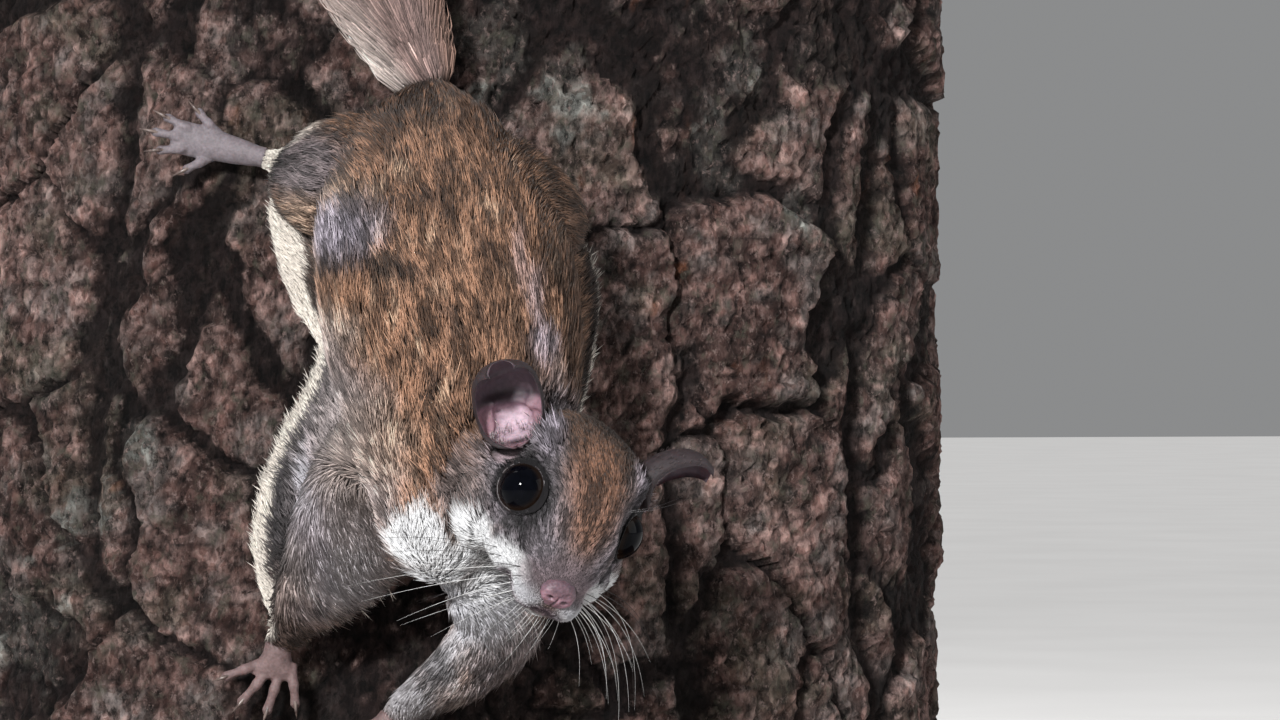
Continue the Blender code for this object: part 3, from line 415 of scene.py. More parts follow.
def refined(surface: Surface, wanted: Callable[[Array], Array]) -> Surface:
    """Splits each edge that is longer than wanted at its middle, and its triangles with it.

    Args:
        surface: the surface to split.
        wanted: gives the longest edge allowed at each place.

    Returns:
        A surface of triangles.
    """
    points, faces = surface.points, surface.split()
    pairs = np.sort(np.stack([faces, np.roll(faces, -1, axis=1)], axis=-1), axis=-1).reshape(-1, 2)
    keys, inverse = np.unique(pairs[:, 0] * len(points) + pairs[:, 1], return_inverse=True)
    ends = np.stack([keys // len(points), keys % len(points)], axis=-1)
    middles = points[ends].mean(axis=1)
    long = np.linalg.norm(points[ends[:, 0]] - points[ends[:, 1]], axis=1) > wanted(middles)
    number = np.full(len(keys), -1)
    number[long] = len(points) + np.arange(long.sum())
    halves = number[inverse.reshape(-1)].reshape(-1, 3)
    splits = (halves >= 0).sum(axis=1)
    made = [faces[splits == 0]]
    (a, b, c), (ab, bc, ca) = faces[splits == 3].T, halves[splits == 3].T
    made += [np.stack(t, axis=-1) for t in ((a, ab, ca), (ab, b, bc), (ca, bc, c), (ab, bc, ca))]
    for k in range(3):
        chosen = (splits == 1) & (halves[:, k] >= 0)
        a, b, c = np.roll(faces[chosen], -k, axis=1).T
        half = halves[chosen, k]
        made += [np.stack([a, half, c], axis=-1), np.stack([half, b, c], axis=-1)]
        chosen = (splits == 2) & (halves[:, k] < 0)
        a, b, c = np.roll(faces[chosen], -k - 1, axis=1).T
        ab, bc, _ = np.roll(halves[chosen], -k - 1, axis=1).T
        made += [np.stack(t, axis=-1) for t in ((ab, b, bc), (a, ab, c), (ab, bc, c))]
    return Surface(np.concatenate([points, middles[long]]), triangles=np.concatenate(made))


def linked(name: str, data: bpy.types.ID) -> bpy.types.Object:
    """A new object in the scene that holds the data."""
    thing = bpy.data.objects.new(name, data)
    bpy.context.scene.collection.objects.link(thing)
    return thing


def bare_mesh(name: str, surface: Surface) -> bpy.types.Mesh:
    """A mesh from a surface, in metres.

    Args:
        name: name of the mesh.
        surface: its points and faces.

    Returns:
        The mesh, shaded smooth.
    """
    mesh = bpy.data.meshes.new(name)
    quads, triangles = surface.quads, surface.triangles
    corners = np.concatenate([quads.reshape(-1), triangles.reshape(-1)]).astype(np.int32)
    sizes = np.concatenate([np.full(len(quads), 4), np.full(len(triangles), 3)])
    mesh.vertices.add(len(surface.points))
    mesh.vertices.foreach_set("co", (surface.points * MM).astype(np.float32).reshape(-1))
    mesh.loops.add(len(corners))
    mesh.loops.foreach_set("vertex_index", corners)
    mesh.polygons.add(len(sizes))
    mesh.polygons.foreach_set("loop_start", (np.cumsum(sizes) - sizes).astype(np.int32))
    mesh.update(calc_edges=True)
    mesh.validate()
    mesh.shade_smooth()
    return mesh


@dataclass(frozen=True)
class HeadFrame:
    """The head's own axes: forward to the nose, left and up."""

    middle: Row = (0.0, -54.0, 106.0)
    forward: Row = (-0.152, -0.711, -0.687)
    left: Row = (0.897, 0.194, -0.398)

    def axes(self) -> Array:
        """Forward, left and up as rows."""
        forward = unit(np.array(self.forward))
        left = np.array(self.left)
        left = unit(left - forward * dot(left, forward))
        return np.stack([forward, left, np.cross(forward, left)])

    def place(self, along: float, left: float, up: float) -> Array:
        """A place given in the head's axes, in the part's frame."""
        return np.array(self.middle) + np.array([along, left, up]) @ self.axes()

    def local(self, points: Array) -> Array:
        """Places of the part's frame in the head's axes."""
        return (points - np.array(self.middle)) @ self.axes().T

    def way(self, along: float, left: float, up: float) -> Array:
        """A unit direction given in the head's axes."""
        return unit(np.array([along, left, up]) @ self.axes())


HEAD = HeadFrame()


class Side(Enum):
    """Side of the animal, with its sign along the head's left axis."""

    RIGHT = -1
    LEFT = 1


@dataclass(frozen=True)
class Log:
    """The smooth form of the trunk's front, an oval with a flat back."""

    half_width: float = 100.0
    depth: float = 72.0
    square: float = 2.5
    front: float = -12.0
    back: float = 60.0
    foot: float = 44.0
    length: float = 228.0

    def recess(self, x: Array) -> Array:
        """How far the front lies behind its foremost line: depth less the oval's height at x."""
        share = np.minimum(np.abs(x) / self.half_width, 1.0)
        return self.depth * (1.0 - (1.0 - share**self.square) ** (1.0 / self.square))

    def at(self, places: Array) -> Array:
        """Places given as x, z and height off the bark, in the part's frame."""
        x, z, height = np.asarray(places, float).T
        return np.stack([x, self.front + self.recess(x) - height, z], axis=-1)

    def out(self, x: Array) -> Array:
        """The way out of the bark at x: across the slope of the recess there."""
        slope = self.recess(x + 0.5) - self.recess(x - 0.5)
        return unit(np.stack([slope, -np.ones_like(slope), np.zeros_like(slope)], axis=-1))


LOG = Log()


@dataclass(frozen=True)
class Limb:
    """A part of the body as an oval carried along a path of stations.

    A station holds x, y, z, half width and half depth. The coat is how deep the skin lies under them, with at
    least a share of each size left. The hair lies along or against the stations, and drifts more towards the
    last one.
    """

    name: str
    stations: tuple[Row, ...]
    lies: float
    coat: float
    up: Row = BACK
    square: float = 2.2
    drift: Row = (0.0, 0.0, 0.0)
    drift_grows: tuple[float, float] = (0.35, 1.1)
    least: float = 0.45
    probes: int = 48

    def frames(self, count: int) -> tuple[Array, ...]:
        """Middles, tangents, ways across, ways deep and sizes at even shares of the path."""
        return framed(curve(np.array(self.stations), np.linspace(0.0, 1.0, count)), self.up)

    def surface(self, count: int = 60, sides: int = 56) -> Surface:
        """The limb's skin: each ring is a rounded oval, less the depth of the coat."""
        *lines, sizes = self.frames(count)
        sizes = np.maximum(sizes - self.coat, sizes * self.least)
        return swept((*lines, sizes), sides, self.square)

    def locate(self, points: Array) -> tuple[Array, Array, Array, Array]:
        """Where points lie against the limb.

        Args:
            points: places near it.

        Returns:
            Nearness, which is 1 on the limb's own surface and less inside, the lie of its hair, and two
            lengths in millimetres, round the limb and along it, which unwrap it.
        """
        middles, tangents, wide, deep, sizes = self.frames(self.probes)
        radii = sizes.mean(axis=1)
        away = distances(points, middles) / radii
        best = away.argmin(axis=1)
        offset = points - middles[best]
        turn = np.arctan2(dot(offset, wide[best]), dot(offset, deep[best]))
        length = np.linalg.norm(np.diff(middles, axis=0), axis=1).sum()
        share = best / (self.probes - 1.0)
        along = share * length + dot(offset, tangents[best])
        grown = self.drift_grows[0] + self.drift_grows[1] * share
        lie = tangents[best] * self.lies + np.array(self.drift) * grown[:, None]
        return away.min(axis=1), lie, turn * radii.mean(), along


@dataclass(frozen=True)
class Membrane:
    """The gliding membrane along one flank, from a line inside the body to its free rim.

    Its edging is the width of the cream rim, and how much wider it grows by the hind leg. Places near it are
    matched to a coarse sheet of probes, a gap apart along it and across.
    """

    name: str
    rim: tuple[Row, ...]
    root: tuple[Row, ...]
    edging: tuple[float, float] = (2.9, 3.0)
    thick: float = 2.6
    coat: float = 0.5
    bow: float = 1.2
    probes: tuple[int, int] = (40, 7)
    probe_gaps: tuple[float, float] = (2.4, 3.0)
    reach: float = 2.3
    lie: Row = (0.0, -0.1, 0.75)

    def sheet(self, rows: int, columns: int) -> tuple[Array, Array, Array]:
        """Middle points on a grid, the way out of the bark and the share across.

        A point is the root plus a share of the way to the rim, bowed out by a sine.
        """
        shares = np.linspace(0.0, 1.0, rows)
        root = curve(LOG.at(np.array(self.root)), shares)
        rim = curve(LOG.at(np.array(self.rim)), shares)
        across = np.linspace(0.0, 1.0, columns)
        up = LOG.out(rim[:, 0])[:, None]
        bow = self.bow * np.sin(np.pi * across)[None, :, None]
        return root[:, None] + (rim - root)[:, None] * across[None, :, None] + up * bow, up, across

    def surface(self) -> Surface:
        """A closed sheet whose half thickness swells by a sine across and grows to the rim."""
        middles, up, across = self.sheet(110, 22)
        half = self.thick * (0.36 + 0.22 * np.sin(np.pi * across) + 0.20 * across) - self.coat
        rise = up * half[None, :, None]
        tip = middles[:, -1] + unit(middles[:, -1] - middles[:, -2]) * self.thick * 0.35
        rings = np.concatenate([middles + rise, tip[:, None], (middles - rise)[:, ::-1]], axis=1)
        return tube(rings, rings[0].mean(axis=0), rings[-1].mean(axis=0))

    def rim_distance(self, points: Array) -> Array:
        """Distance from points to the free rim."""
        line = curve(LOG.at(np.array(self.rim)), np.linspace(0.0, 1.0, 120))
        return distances(points, line).min(axis=1)

    def locate(self, points: Array) -> tuple[Array, Array, Array, Array]:
        """Where points lie against the membrane; see the limb's method of this name."""
        middles = self.sheet(*self.probes)[0]
        flat = middles.reshape(-1, 3)
        away = distances(points, flat)
        best = away.argmin(axis=1)
        row, column = np.divmod(best, self.probes[1])
        outward = unit(middles[row, -1] - middles[row, 0])
        lie = unit(outward * 0.7 + np.array(self.lie))
        across = column * self.probe_gaps[1] + dot(points - flat[best], outward)
        return away.min(axis=1) / self.reach, lie, across, row * self.probe_gaps[0]


class Place(Enum):
    """What a marking's place is measured in."""

    BODY = "body"
    HEAD = "head"


@dataclass(frozen=True)
class Marking:
    """A soft-edged oval of one tone on the coat."""

    middle: Row
    radii: Row
    tone: Row
    strength: float = 1.0
    soft: float = 0.35
    place: Place = Place.BODY
    paired: bool = False

    def both(self) -> list["Marking"]:
        """The marking, and its mirror image on the head's other side where it is one of a pair."""
        along, apart, up = self.middle
        return [self, replace(self, middle=(along, -apart, up))] if self.paired else [self]


@dataclass(frozen=True)
class CoatTones:
    """Linear colours of the coat, and of the shade, highlight and sheen painted on it."""

    back: Row = (0.285, 0.155, 0.095)
    back_dark: Row = (0.055, 0.030, 0.020)
    back_light: Row = (0.60, 0.41, 0.29)
    grey: Row = (0.36, 0.31, 0.32)
    dark_grey: Row = (0.165, 0.14, 0.15)
    slate: Row = (0.022, 0.019, 0.022)
    # Violet grey of the fur, also painted as sheen on the back and the upper arm.
    violet_and_sheen: Row = (0.38, 0.34, 0.40)
    arm: Row = (0.58, 0.505, 0.50)
    lip: Row = (0.22, 0.155, 0.19)
    # Brown of the cheeks, also painted as a shadow stripe on the throat under the head.
    cheek_and_shadow: Row = (0.23, 0.175, 0.16)
    face: Row = (0.24, 0.21, 0.23)
    # Frosted bluish white of the fur, also painted as a highlight and as light on the shaded lower arm.
    frost_and_highlight: Row = (0.66, 0.66, 0.70)
    tan: Row = (0.46, 0.33, 0.25)
    cream: Row = (0.93, 0.85, 0.76)
    white: Row = (0.93, 0.93, 0.94)
    crown: Row = (0.098, 0.050, 0.028)
    bridge: Row = (0.23, 0.115, 0.07)
    mauve: Row = (0.33, 0.245, 0.265)
    pink: Row = (0.58, 0.44, 0.48)
    tail: Row = (0.31, 0.21, 0.19)
    tail_light: Row = (0.70, 0.60, 0.55)


@dataclass
class Coat:
    """The body's limbs and membranes, with the lie and the markings of the fur, some of them painted shade
    and light.

    A row of a limb holds x, y, z, half width and half depth. One of the head's rings holds its place along
    the head, half width, top and bottom. One of a membrane's rim or root holds x, z and height off the bark.
    """

    tones: CoatTones = CoatTones()
    head_reach: float = 21.0
    edging_grows: tuple[float, float] = (138.0, 150.0)
    lie_share: float = 0.22
    rings_ahead: tuple[Row, ...] = (
        (-18.5, 6.0, 4.6, 6.5),
        (-15.0, 9.8, 8.0, 9.0),
        (-10.0, 12.0, 10.2, 10.6),
        (-5.0, 12.6, 10.4, 11.2),
        (0.0, 11.6, 9.4, 12.2),
        (4.0, 10.6, 7.2, 12.2),
        (8.0, 8.6, 4.4, 11.6),
        (11.5, 6.6, 1.6, 10.6),
        (14.2, 4.8, -0.6, 9.2),
        (15.6, 3.2, -2.2, 7.6),
    )
    torso: tuple[Row, ...] = (
        (-17.2, -22.5, 178.0, 6.5, 5.5),
        (-17.6, -24.2, 172.5, 13.5, 10.0),
        (-18.3, -26.3, 164.0, 19.5, 13.2),
        (-17.6, -28.2, 154.5, 22.6, 15.4),
        (-16.2, -29.6, 144.5, 23.6, 16.8),
        (-15.0, -30.2, 134.5, 23.2, 17.3),
        (-14.4, -30.6, 125.0, 21.8, 17.0),
        (-14.6, -30.8, 116.0, 19.8, 16.4),
        (-15.0, -30.4, 107.5, 17.2, 14.6),
        (-15.2, -29.2, 100.0, 13.0, 11.4),
        (-15.2, -28.2, 95.0, 7.0, 6.5),
    )
    neck: tuple[Row, ...] = (
        (-15.0, -32.0, 119.0, 13.0, 12.0),
        (-10.5, -38.0, 115.0, 13.2, 12.2),
        (-5.5, -44.0, 112.8, 12.6, 11.8),
        (-1.0, -49.5, 110.5, 11.4, 10.8),
    )
    right_arm: tuple[Row, ...] = (
        (-18.0, -30.0, 118.0, 12.5, 10.5),
        (-25.0, -27.0, 111.5, 13.2, 9.8),
        (-30.5, -23.0, 103.5, 11.8, 8.2),
        (-35.0, -19.0, 95.5, 8.8, 6.6),
        (-38.8, -15.8, 89.5, 5.8, 4.8),
        (-41.2, -13.6, 84.8, 4.2, 3.7),
        (-42.4, -12.6, 82.0, 3.6, 3.0),
    )
    left_arm: tuple[Row, ...] = (
        (-10.0, -29.0, 104.0, 10.5, 9.5),
        (-7.5, -27.0, 94.5, 9.2, 9.0),
        (-6.2, -24.6, 86.0, 7.8, 7.8),
        (-9.5, -21.2, 79.5, 6.3, 6.3),
        (-15.0, -18.2, 74.5, 4.7, 4.8),
        (-19.6, -16.2, 71.2, 3.6, 3.7),
        (-22.4, -15.4, 68.6, 3.2, 3.0),
    )
    right_leg: tuple[Row, ...] = (
        (-21.0, -26.0, 163.0, 12.8, 10.5),
        (-28.0, -24.2, 163.4, 12.0, 10.2),
        (-34.0, -21.0, 163.8, 11.2, 9.0),
        (-38.8, -17.2, 164.8, 8.8, 7.2),
        (-42.4, -13.6, 166.6, 3.6, 3.8),
        (-45.4, -12.0, 167.8, 2.3, 2.3),
    )
    left_thigh: tuple[Row, ...] = (
        (-10.0, -26.0, 160.0, 12.5, 10.5),
        (-3.0, -24.8, 157.5, 12.0, 10.2),
        (3.2, -22.2, 155.0, 9.2, 8.6),
        (6.2, -20.4, 153.6, 5.2, 5.2),
    )
    left_shank: tuple[Row, ...] = (
        (4.8, -20.2, 153.4, 5.4, 5.2),
        (4.8, -18.2, 156.6, 5.0, 4.8),
        (3.4, -16.2, 160.2, 4.2, 3.8),
        (1.6, -15.0, 162.6, 3.2, 2.8),
    )
    right_rim: tuple[Row, ...] = (
        (-42.6, 165.0, 5.0),
        (-43.6, 158.0, 4.6),
        (-42.2, 150.0, 4.6),
        (-39.6, 142.0, 4.8),
        (-35.6, 134.5, 5.4),
        (-36.8, 128.0, 5.6),
        (-41.2, 119.0, 5.2),
        (-45.0, 109.0, 4.6),
        (-46.2, 99.0, 4.4),
        (-45.0, 91.0, 4.2),
        (-43.6, 86.0, 4.0),
    )
    right_root: tuple[Row, ...] = (
        (-35.0, 163.0, 8.0),
        (-30.0, 157.0, 9.0),
        (-27.0, 150.0, 10.0),
        (-26.0, 142.0, 10.0),
        (-26.0, 134.5, 11.0),
        (-26.0, 128.0, 11.0),
        (-27.0, 119.0, 10.0),
        (-29.0, 108.0, 9.0),
        (-33.0, 99.0, 7.0),
        (-37.5, 91.0, 5.0),
        (-40.0, 86.5, 4.2),
    )
    left_rim: tuple[Row, ...] = (
        (4.5, 158.5, 3.2),
        (10.4, 153.0, 4.6),
        (13.2, 145.0, 5.2),
        (12.6, 134.0, 5.6),
        (9.8, 122.0, 6.0),
        (7.4, 110.0, 6.4),
        (5.4, 98.0, 6.8),
        (3.2, 88.0, 6.6),
        (-3.0, 79.5, 5.6),
        (-12.0, 73.0, 4.6),
    )
    left_root: tuple[Row, ...] = (
        (0.0, 157.0, 6.0),
        (-1.0, 152.0, 9.0),
        (-3.0, 145.0, 11.0),
        (-4.0, 134.0, 12.0),
        (-5.0, 122.0, 12.0),
        (-6.0, 110.0, 12.0),
        (-6.0, 98.0, 12.0),
        (-6.0, 88.0, 11.0),
        (-9.0, 80.5, 8.0),
        (-14.0, 75.0, 5.5),
    )

    def parts(self) -> list[Limb | Membrane]:
        """Every limb and membrane, each with the way that its hair lies along its stations."""
        head_rows = tuple(
            (*HEAD.place(along, 0.0, (high - low) / 2), wide, (high + low) / 2)
            for along, wide, high, low in self.rings_ahead
        )
        return [
            Limb("torso", self.torso, -1.0, 1.5),
            Limb("neck", self.neck, -1.0, 1.4),
            Limb("head", head_rows, -1.0, 0.5, tuple(HEAD.axes()[2]), 2.3),
            Limb("foreleg_right", self.right_arm, 1.0, 1.0, drift=(1.3, -0.1, 0.1)),
            Limb("foreleg_left", self.left_arm, 1.0, 0.9, drift=(0.2, 0.0, -0.3)),
            Limb("hindleg_right", self.right_leg, 1.0, 0.9),
            Limb("thigh_left", self.left_thigh, 1.0, 0.9),
            Limb("shank_left", self.left_shank, 1.0, 0.7),
            Membrane("membrane_right", self.right_rim, self.right_root),
            Membrane("membrane_left", self.left_rim, self.left_root, (1.0, 0.0)),
        ]

    def markings(self) -> list[Marking]:
        """The coat's patches, from the broad ones to the small ones that lie over them, painted shade and
        light among them.
        """
        t, head = self.tones, Place.HEAD
        marks = [
            Marking((-10.0, -30.0, 176.0), (26.0, 20.0, 9.0), t.back_dark, 0.55, 0.6),
            Marking((-38.0, -30.0, 154.0), (9.0, 14.0, 9.0), t.tan, 0.7),
            Marking((-36.5, -36.0, 152.0), (7.5, 10.0, 5.6), t.violet_and_sheen, 0.95, 0.5),
            Marking((-36.5, -34.0, 146.0), (4.6, 7.0, 2.4), t.slate, 0.7, 0.5),
            Marking((-36.5, -34.0, 135.0), (5.5, 8.0, 4.0), t.tan, 0.7, 0.5),
            Marking((-36.0, -24.0, 112.0), (14.0, 18.0, 24.0), t.arm, 0.95, 0.45),
            Marking((-31.0, -38.0, 116.0), (8.0, 10.0, 7.0), t.tan, 0.5, 0.5),
            # Painted sheen: violet streaks over the right of the back.
            Marking((-6.0, -42.0, 148.0), (1.5, 6.0, 6.0), t.violet_and_sheen, 0.28, 0.6),
            Marking((-3.4, -43.0, 140.0), (1.8, 6.0, 5.5), t.violet_and_sheen, 0.42, 0.6),
            Marking((-2.2, -44.0, 132.5), (2.8, 6.0, 4.2), t.violet_and_sheen, 0.7, 0.6),
            # Painted shade: the right side of the back, away from the key light, darkened.
            Marking((6.0, -33.0, 140.0), (6.6, 16.0, 36.0), t.back_dark, 0.72, 0.6),
            Marking((-35.0, -34.0, 128.0), (7.0, 9.0, 4.0), t.back_dark, 0.5, 0.5),
            Marking((-30.1, -43.0, 146.0), (4.6, 5.0, 2.0), t.back_dark, 0.8, 0.5),
            Marking((-25.5, -44.0, 144.0), (3.0, 5.0, 1.8), t.back_dark, 0.7, 0.5),
            Marking((-18.9, -40.0, 163.0), (2.2, 4.0, 1.4), t.back_dark, 0.8, 0.5),
            Marking((-20.5, -41.0, 158.6), (1.8, 4.0, 1.3), t.back_dark, 0.8, 0.5),
            Marking((-19.2, -42.0, 155.0), (1.8, 4.0, 1.3), t.back_dark, 0.8, 0.5),
            Marking((-12.8, -40.0, 160.0), (1.6, 4.0, 1.3), t.back_dark, 0.7, 0.5),
            Marking((-26.0, -38.0, 165.0), (2.4, 4.0, 1.3), t.back_dark, 0.7, 0.5),
            Marking((-38.0, -25.0, 165.5), (7.5, 10.0, 6.0), t.dark_grey, 0.92),
            Marking((-41.5, -17.0, 174.0), (7.5, 8.0, 4.6), t.cream, 0.95, 0.3),
            # Painted sheen and highlight on the upper arm: a violet band and a bluish white one beside it.
            Marking((-38.6, -21.5, 106.0), (2.2, 7.0, 12.0), t.violet_and_sheen, 0.75, 0.6),
            Marking((-38.8, -21.0, 110.0), (1.3, 6.0, 6.0), t.frost_and_highlight, 0.6, 0.6),
            Marking((-42.2, -16.5, 106.0), (2.0, 5.0, 13.0), t.slate, 0.85, 0.4),
            Marking((-40.5, -18.5, 91.0), (2.2, 5.0, 4.0), t.dark_grey, 0.6, 0.5),
            # Painted light: a pale wash over the lower arm where it lies in shade.
            Marking((-34.5, -26.0, 97.0), (5.0, 9.0, 8.0), t.frost_and_highlight, 0.45, 0.6),
            Marking((-14.0, -33.0, 90.0), (10.0, 10.0, 9.0), t.frost_and_highlight, 0.95),
            Marking((-23.4, -41.0, 98.8), (4.8, 10.0, 7.2), t.white, 1.0, 0.2),
            Marking((-17.0, -38.0, 94.0), (7.0, 10.0, 5.0), t.white, 0.9, 0.3),
            # Painted shadow: a brown stripe on the throat under the cheek.
            Marking((-18.0, -43.6, 105.0), (1.9, 6.0, 5.4), t.cheek_and_shadow, 1.0, 0.4),
            Marking((-12.6, -38.0, 97.4), (4.0, 8.0, 4.6), t.white, 0.9, 0.3),
            # Painted shadow: a fainter brown stripe lower on the throat under the cheek.
            Marking((-14.4, -37.0, 92.6), (1.6, 6.0, 4.0), t.cheek_and_shadow, 0.6, 0.4),
            Marking((-3.0, -25.0, 81.0), (8.5, 10.0, 12.0), t.grey, 0.95),
            Marking((-18.0, -14.0, 72.0), (12.0, 12.0, 9.0), t.arm, 0.85, 0.5),
            Marking((1.0, -20.0, 82.0), (3.5, 6.0, 10.0), t.dark_grey, 0.8, 0.5),
            Marking((-15.5, -25.0, 82.0), (4.0, 8.0, 6.0), t.frost_and_highlight, 0.8, 0.5),
            Marking((-15.0, -20.5, 77.0), (2.4, 6.0, 7.0), t.slate, 0.6, 0.5),
            Marking((-20.0, -19.0, 73.5), (5.0, 6.0, 4.0), t.frost_and_highlight, 0.7),
            Marking((-3.0, 0.0, -2.0), (21.0, 17.0, 15.0), t.face, 1.0, 0.2, head),
            Marking((-10.0, 0.0, 9.0), (13.0, 9.5, 7.0), t.crown, 0.95, 0.45, head),
            Marking((5.0, 0.0, 7.0), (12.0, 5.5, 7.5), t.bridge, 0.9, 0.5, head),
            Marking((-6.5, 8.6, 6.5), (5.0, 2.4, 3.0), t.violet_and_sheen, 0.8, 0.5, head, True),
            Marking((-5.0, 14.0, -11.5), (3.2, 4.0, 5.5), t.dark_grey, 0.55, 0.5, head, True),
            Marking((14.0, 0.0, -4.0), (3.6, 4.6, 4.0), t.mauve, 0.7, 0.5, head),
            Marking((-3.4, 14.0, -11.0), (7.0, 4.0, 7.0), t.cheek_and_shadow, 0.8, 0.4, head, True),
            Marking((4.6, 10.6, -12.0), (6.2, 5.6, 5.0), t.white, 1.0, 0.2, head, True),
            Marking((10.6, 7.2, -8.9), (5.8, 4.2, 4.4), t.white, 1.0, 0.25, head, True),
            Marking((11.0, 0.0, -13.5), (9.0, 8.0, 3.6), t.white, 1.0, 0.3, head),
            Marking((15.4, 3.6, -8.2), (2.6, 2.4, 2.4), t.frost_and_highlight, 0.85, 0.5, head, True),
            Marking((13.0, 4.5, -5.4), (2.8, 2.4, 1.8), t.mauve, 0.6, 0.5, head, True),
        ]
        return [mark for row in marks for mark in row.both()]

    def tone(self, points: Array, normals: Array) -> Array:
        """The coat's colour at places on the skin.

        Each marking blends in where its oval's radius, ruffled by noise, is under one. The rims of the
        membranes are cream inside a dark band, and what faces the bark is cream. Lips are mauve and the ears'
        floors pink.

        Args:
            points: places on the skin.
            normals: its normals there.

        Returns:
            One linear colour for each place.
        """
        t = self.tones
        tone = np.tile(np.array(t.back), (len(points), 1))
        fleck = ease(0.28, 0.60, fractal(points * (1.0, 1.0, 0.6), 2.3, 21, 3))
        tone = blend(tone, np.array(t.back_dark), fleck * 0.8)
        ruffle = fractal(points, 5.0, 31, 3)
        pale = ease(0.15, 0.55, fractal(points * (1.0, 1.0, 0.45), 2.2, 41, 2))
        tone = blend(tone, np.array(t.back_light), pale * 0.45)
        local = HEAD.local(points)
        for mark in self.markings():
            where = local if mark.place is Place.HEAD else points
            away = np.linalg.norm((where - mark.middle) / np.array(mark.radii), axis=1) + ruffle * 0.22
            near = 1.0 - ease(1.0 - mark.soft, 1.0 + mark.soft, away)
            tone = blend(tone, np.array(mark.tone), near * mark.strength)
        under = ease(0.25, 0.75, normals[:, 1]) * (np.linalg.norm(local, axis=1) > self.head_reach)
        tone = blend(tone, np.array(t.cream), under)
        for part in self.parts():
            if isinstance(part, Membrane):
                rim = part.rim_distance(points) + ruffle * 0.7
                wide = part.edging[0] + part.edging[1] * ease(*self.edging_grows, points[:, 2])
                tone = blend(tone, np.array(t.slate), (1.0 - ease(wide + 1.0, wide + 4.5, rim)) * 0.8)
                tone = blend(tone, np.array(t.cream), 1.0 - ease(wide - 0.6, wide + 0.5, rim))
        lips = distances(local, mouth_curve()).min(axis=1) + ruffle * 0.2
        tone = blend(tone, np.array(t.lip), (1.0 - ease(0.7, 1.5, lips)) * 0.9)
        tone = blend(tone, np.array(t.pink), in_cup(points))
        for side in Side:
            _, far, angle = from_eye(points, side)
            tone = blend(tone, np.array(t.slate), (1.0 - ease(66.0, 88.0, angle)) * (far < 8.5))
            tear = tear_distance(local, side)
            tone = blend(tone, np.array(t.slate), (1.0 - ease(0.4, 1.5, tear)) * 0.85)
        return tone

    def lie(self, points: Array, normals: Array) -> tuple[Array, Array, Array]:
        """The lie of the hair on the skin.

        Each part's own lie is weighted by a bell curve of how much nearer another part is, laid in the
        surface and turned a little by broad noise.

        Args:
            points: places on the skin.
            normals: its normals there.

        Returns:
            Unit directions, the number of the nearest part, and its unwrapped lengths.
        """
        found = [part.locate(points) for part in self.parts()]
        near = np.stack([item[0] for item in found])
        weight = bell(near - near.min(axis=0), self.lie_share)
        ways = sum(w[:, None] * item[1] for w, item in zip(weight, found))
        ways = unit(ways - normals * dot(ways, normals)[:, None])
        swirl = 0.35 * noise(points, 7.0, 51) + 0.20 * noise(points, 2.2, 52)
        ways = unit(ways + np.cross(normals, ways) * swirl[:, None])
        owner = near.argmin(axis=0)
        maps = np.stack([np.stack(item[2:], axis=-1) for item in found])
        return ways, owner, maps[owner, np.arange(len(points))]


EYE_RADIUS = 4.7
EYE_OPENING = 63.0
EYE_PLACE: Row = (0.0, 9.5, 0.0)
EYE_LOOK: Row = (0.48, 0.76, 0.44)
TEAR_LINE: tuple[Row, Row] = ((4.6, 9.2, -1.8), (9.6, 7.6, -3.6))
NOSE_TIP: Row = (15.5, 0.0, -5.0)


def eye_axis(side: Side) -> tuple[Array, Array]:
    """Centre of an eyeball and the way that it looks."""
    along, apart, up = EYE_PLACE
    middle = HEAD.place(along, apart * side.value, up)
    return middle, HEAD.way(EYE_LOOK[0], EYE_LOOK[1] * side.value, EYE_LOOK[2])


def from_eye(points: Array, side: Side) -> tuple[Array, Array, Array]:
    """Unit ways from an eye's centre to places, their distance, and their angle off its look in degrees."""
    middle, look = eye_axis(side)
    ray = points - middle
    angle = np.degrees(np.arccos(np.clip(dot(unit(ray), look), -1.0, 1.0)))
    return unit(ray), np.linalg.norm(ray, axis=1), angle


def capsule(points: Array, start: Row, end: Row) -> Array:
    """Distance from points to the straight line between two places."""
    a, b = np.array(start), np.array(end)
    share = np.clip(((points - a) @ (b - a)) / dot(b - a, b - a), 0.0, 1.0)
    return np.linalg.norm(points - a - share[:, None] * (b - a), axis=1)


def tear_distance(local: Array, side: Side) -> Array:
    """Distance from places in the head's axes to the dark line from an eye's front corner."""
    start, end = ((along, apart * side.value, up) for along, apart, up in TEAR_LINE)
    return capsule(local, start, end)


EAR_ROOT: Row = (-7.4, 12.2, 1.9)
EAR_RISE: Row = (-0.48, 0.65, 0.60)
EAR_OPENS: dict[Side, Row] = {Side.RIGHT: (0.85, 0.26, 0.40), Side.LEFT: (0.80, 0.35, -0.35)}
EAR_RADIUS = 5.9


def ear_axes(side: Side) -> tuple[Array, Array, Array, Array]:
    """Root of an ear, the way it rises, the way it opens and the way across it."""
    sign = side.value
    rise = HEAD.way(EAR_RISE[0], EAR_RISE[1] * sign, EAR_RISE[2])
    ahead, outward, above = EAR_OPENS[side]
    opens = HEAD.way(ahead, outward * sign, above)
    opens = unit(opens - rise * dot(opens, rise))
    root = HEAD.place(EAR_ROOT[0], EAR_ROOT[1] * sign, EAR_ROOT[2])
    return root, rise, opens, np.cross(rise, opens) * sign


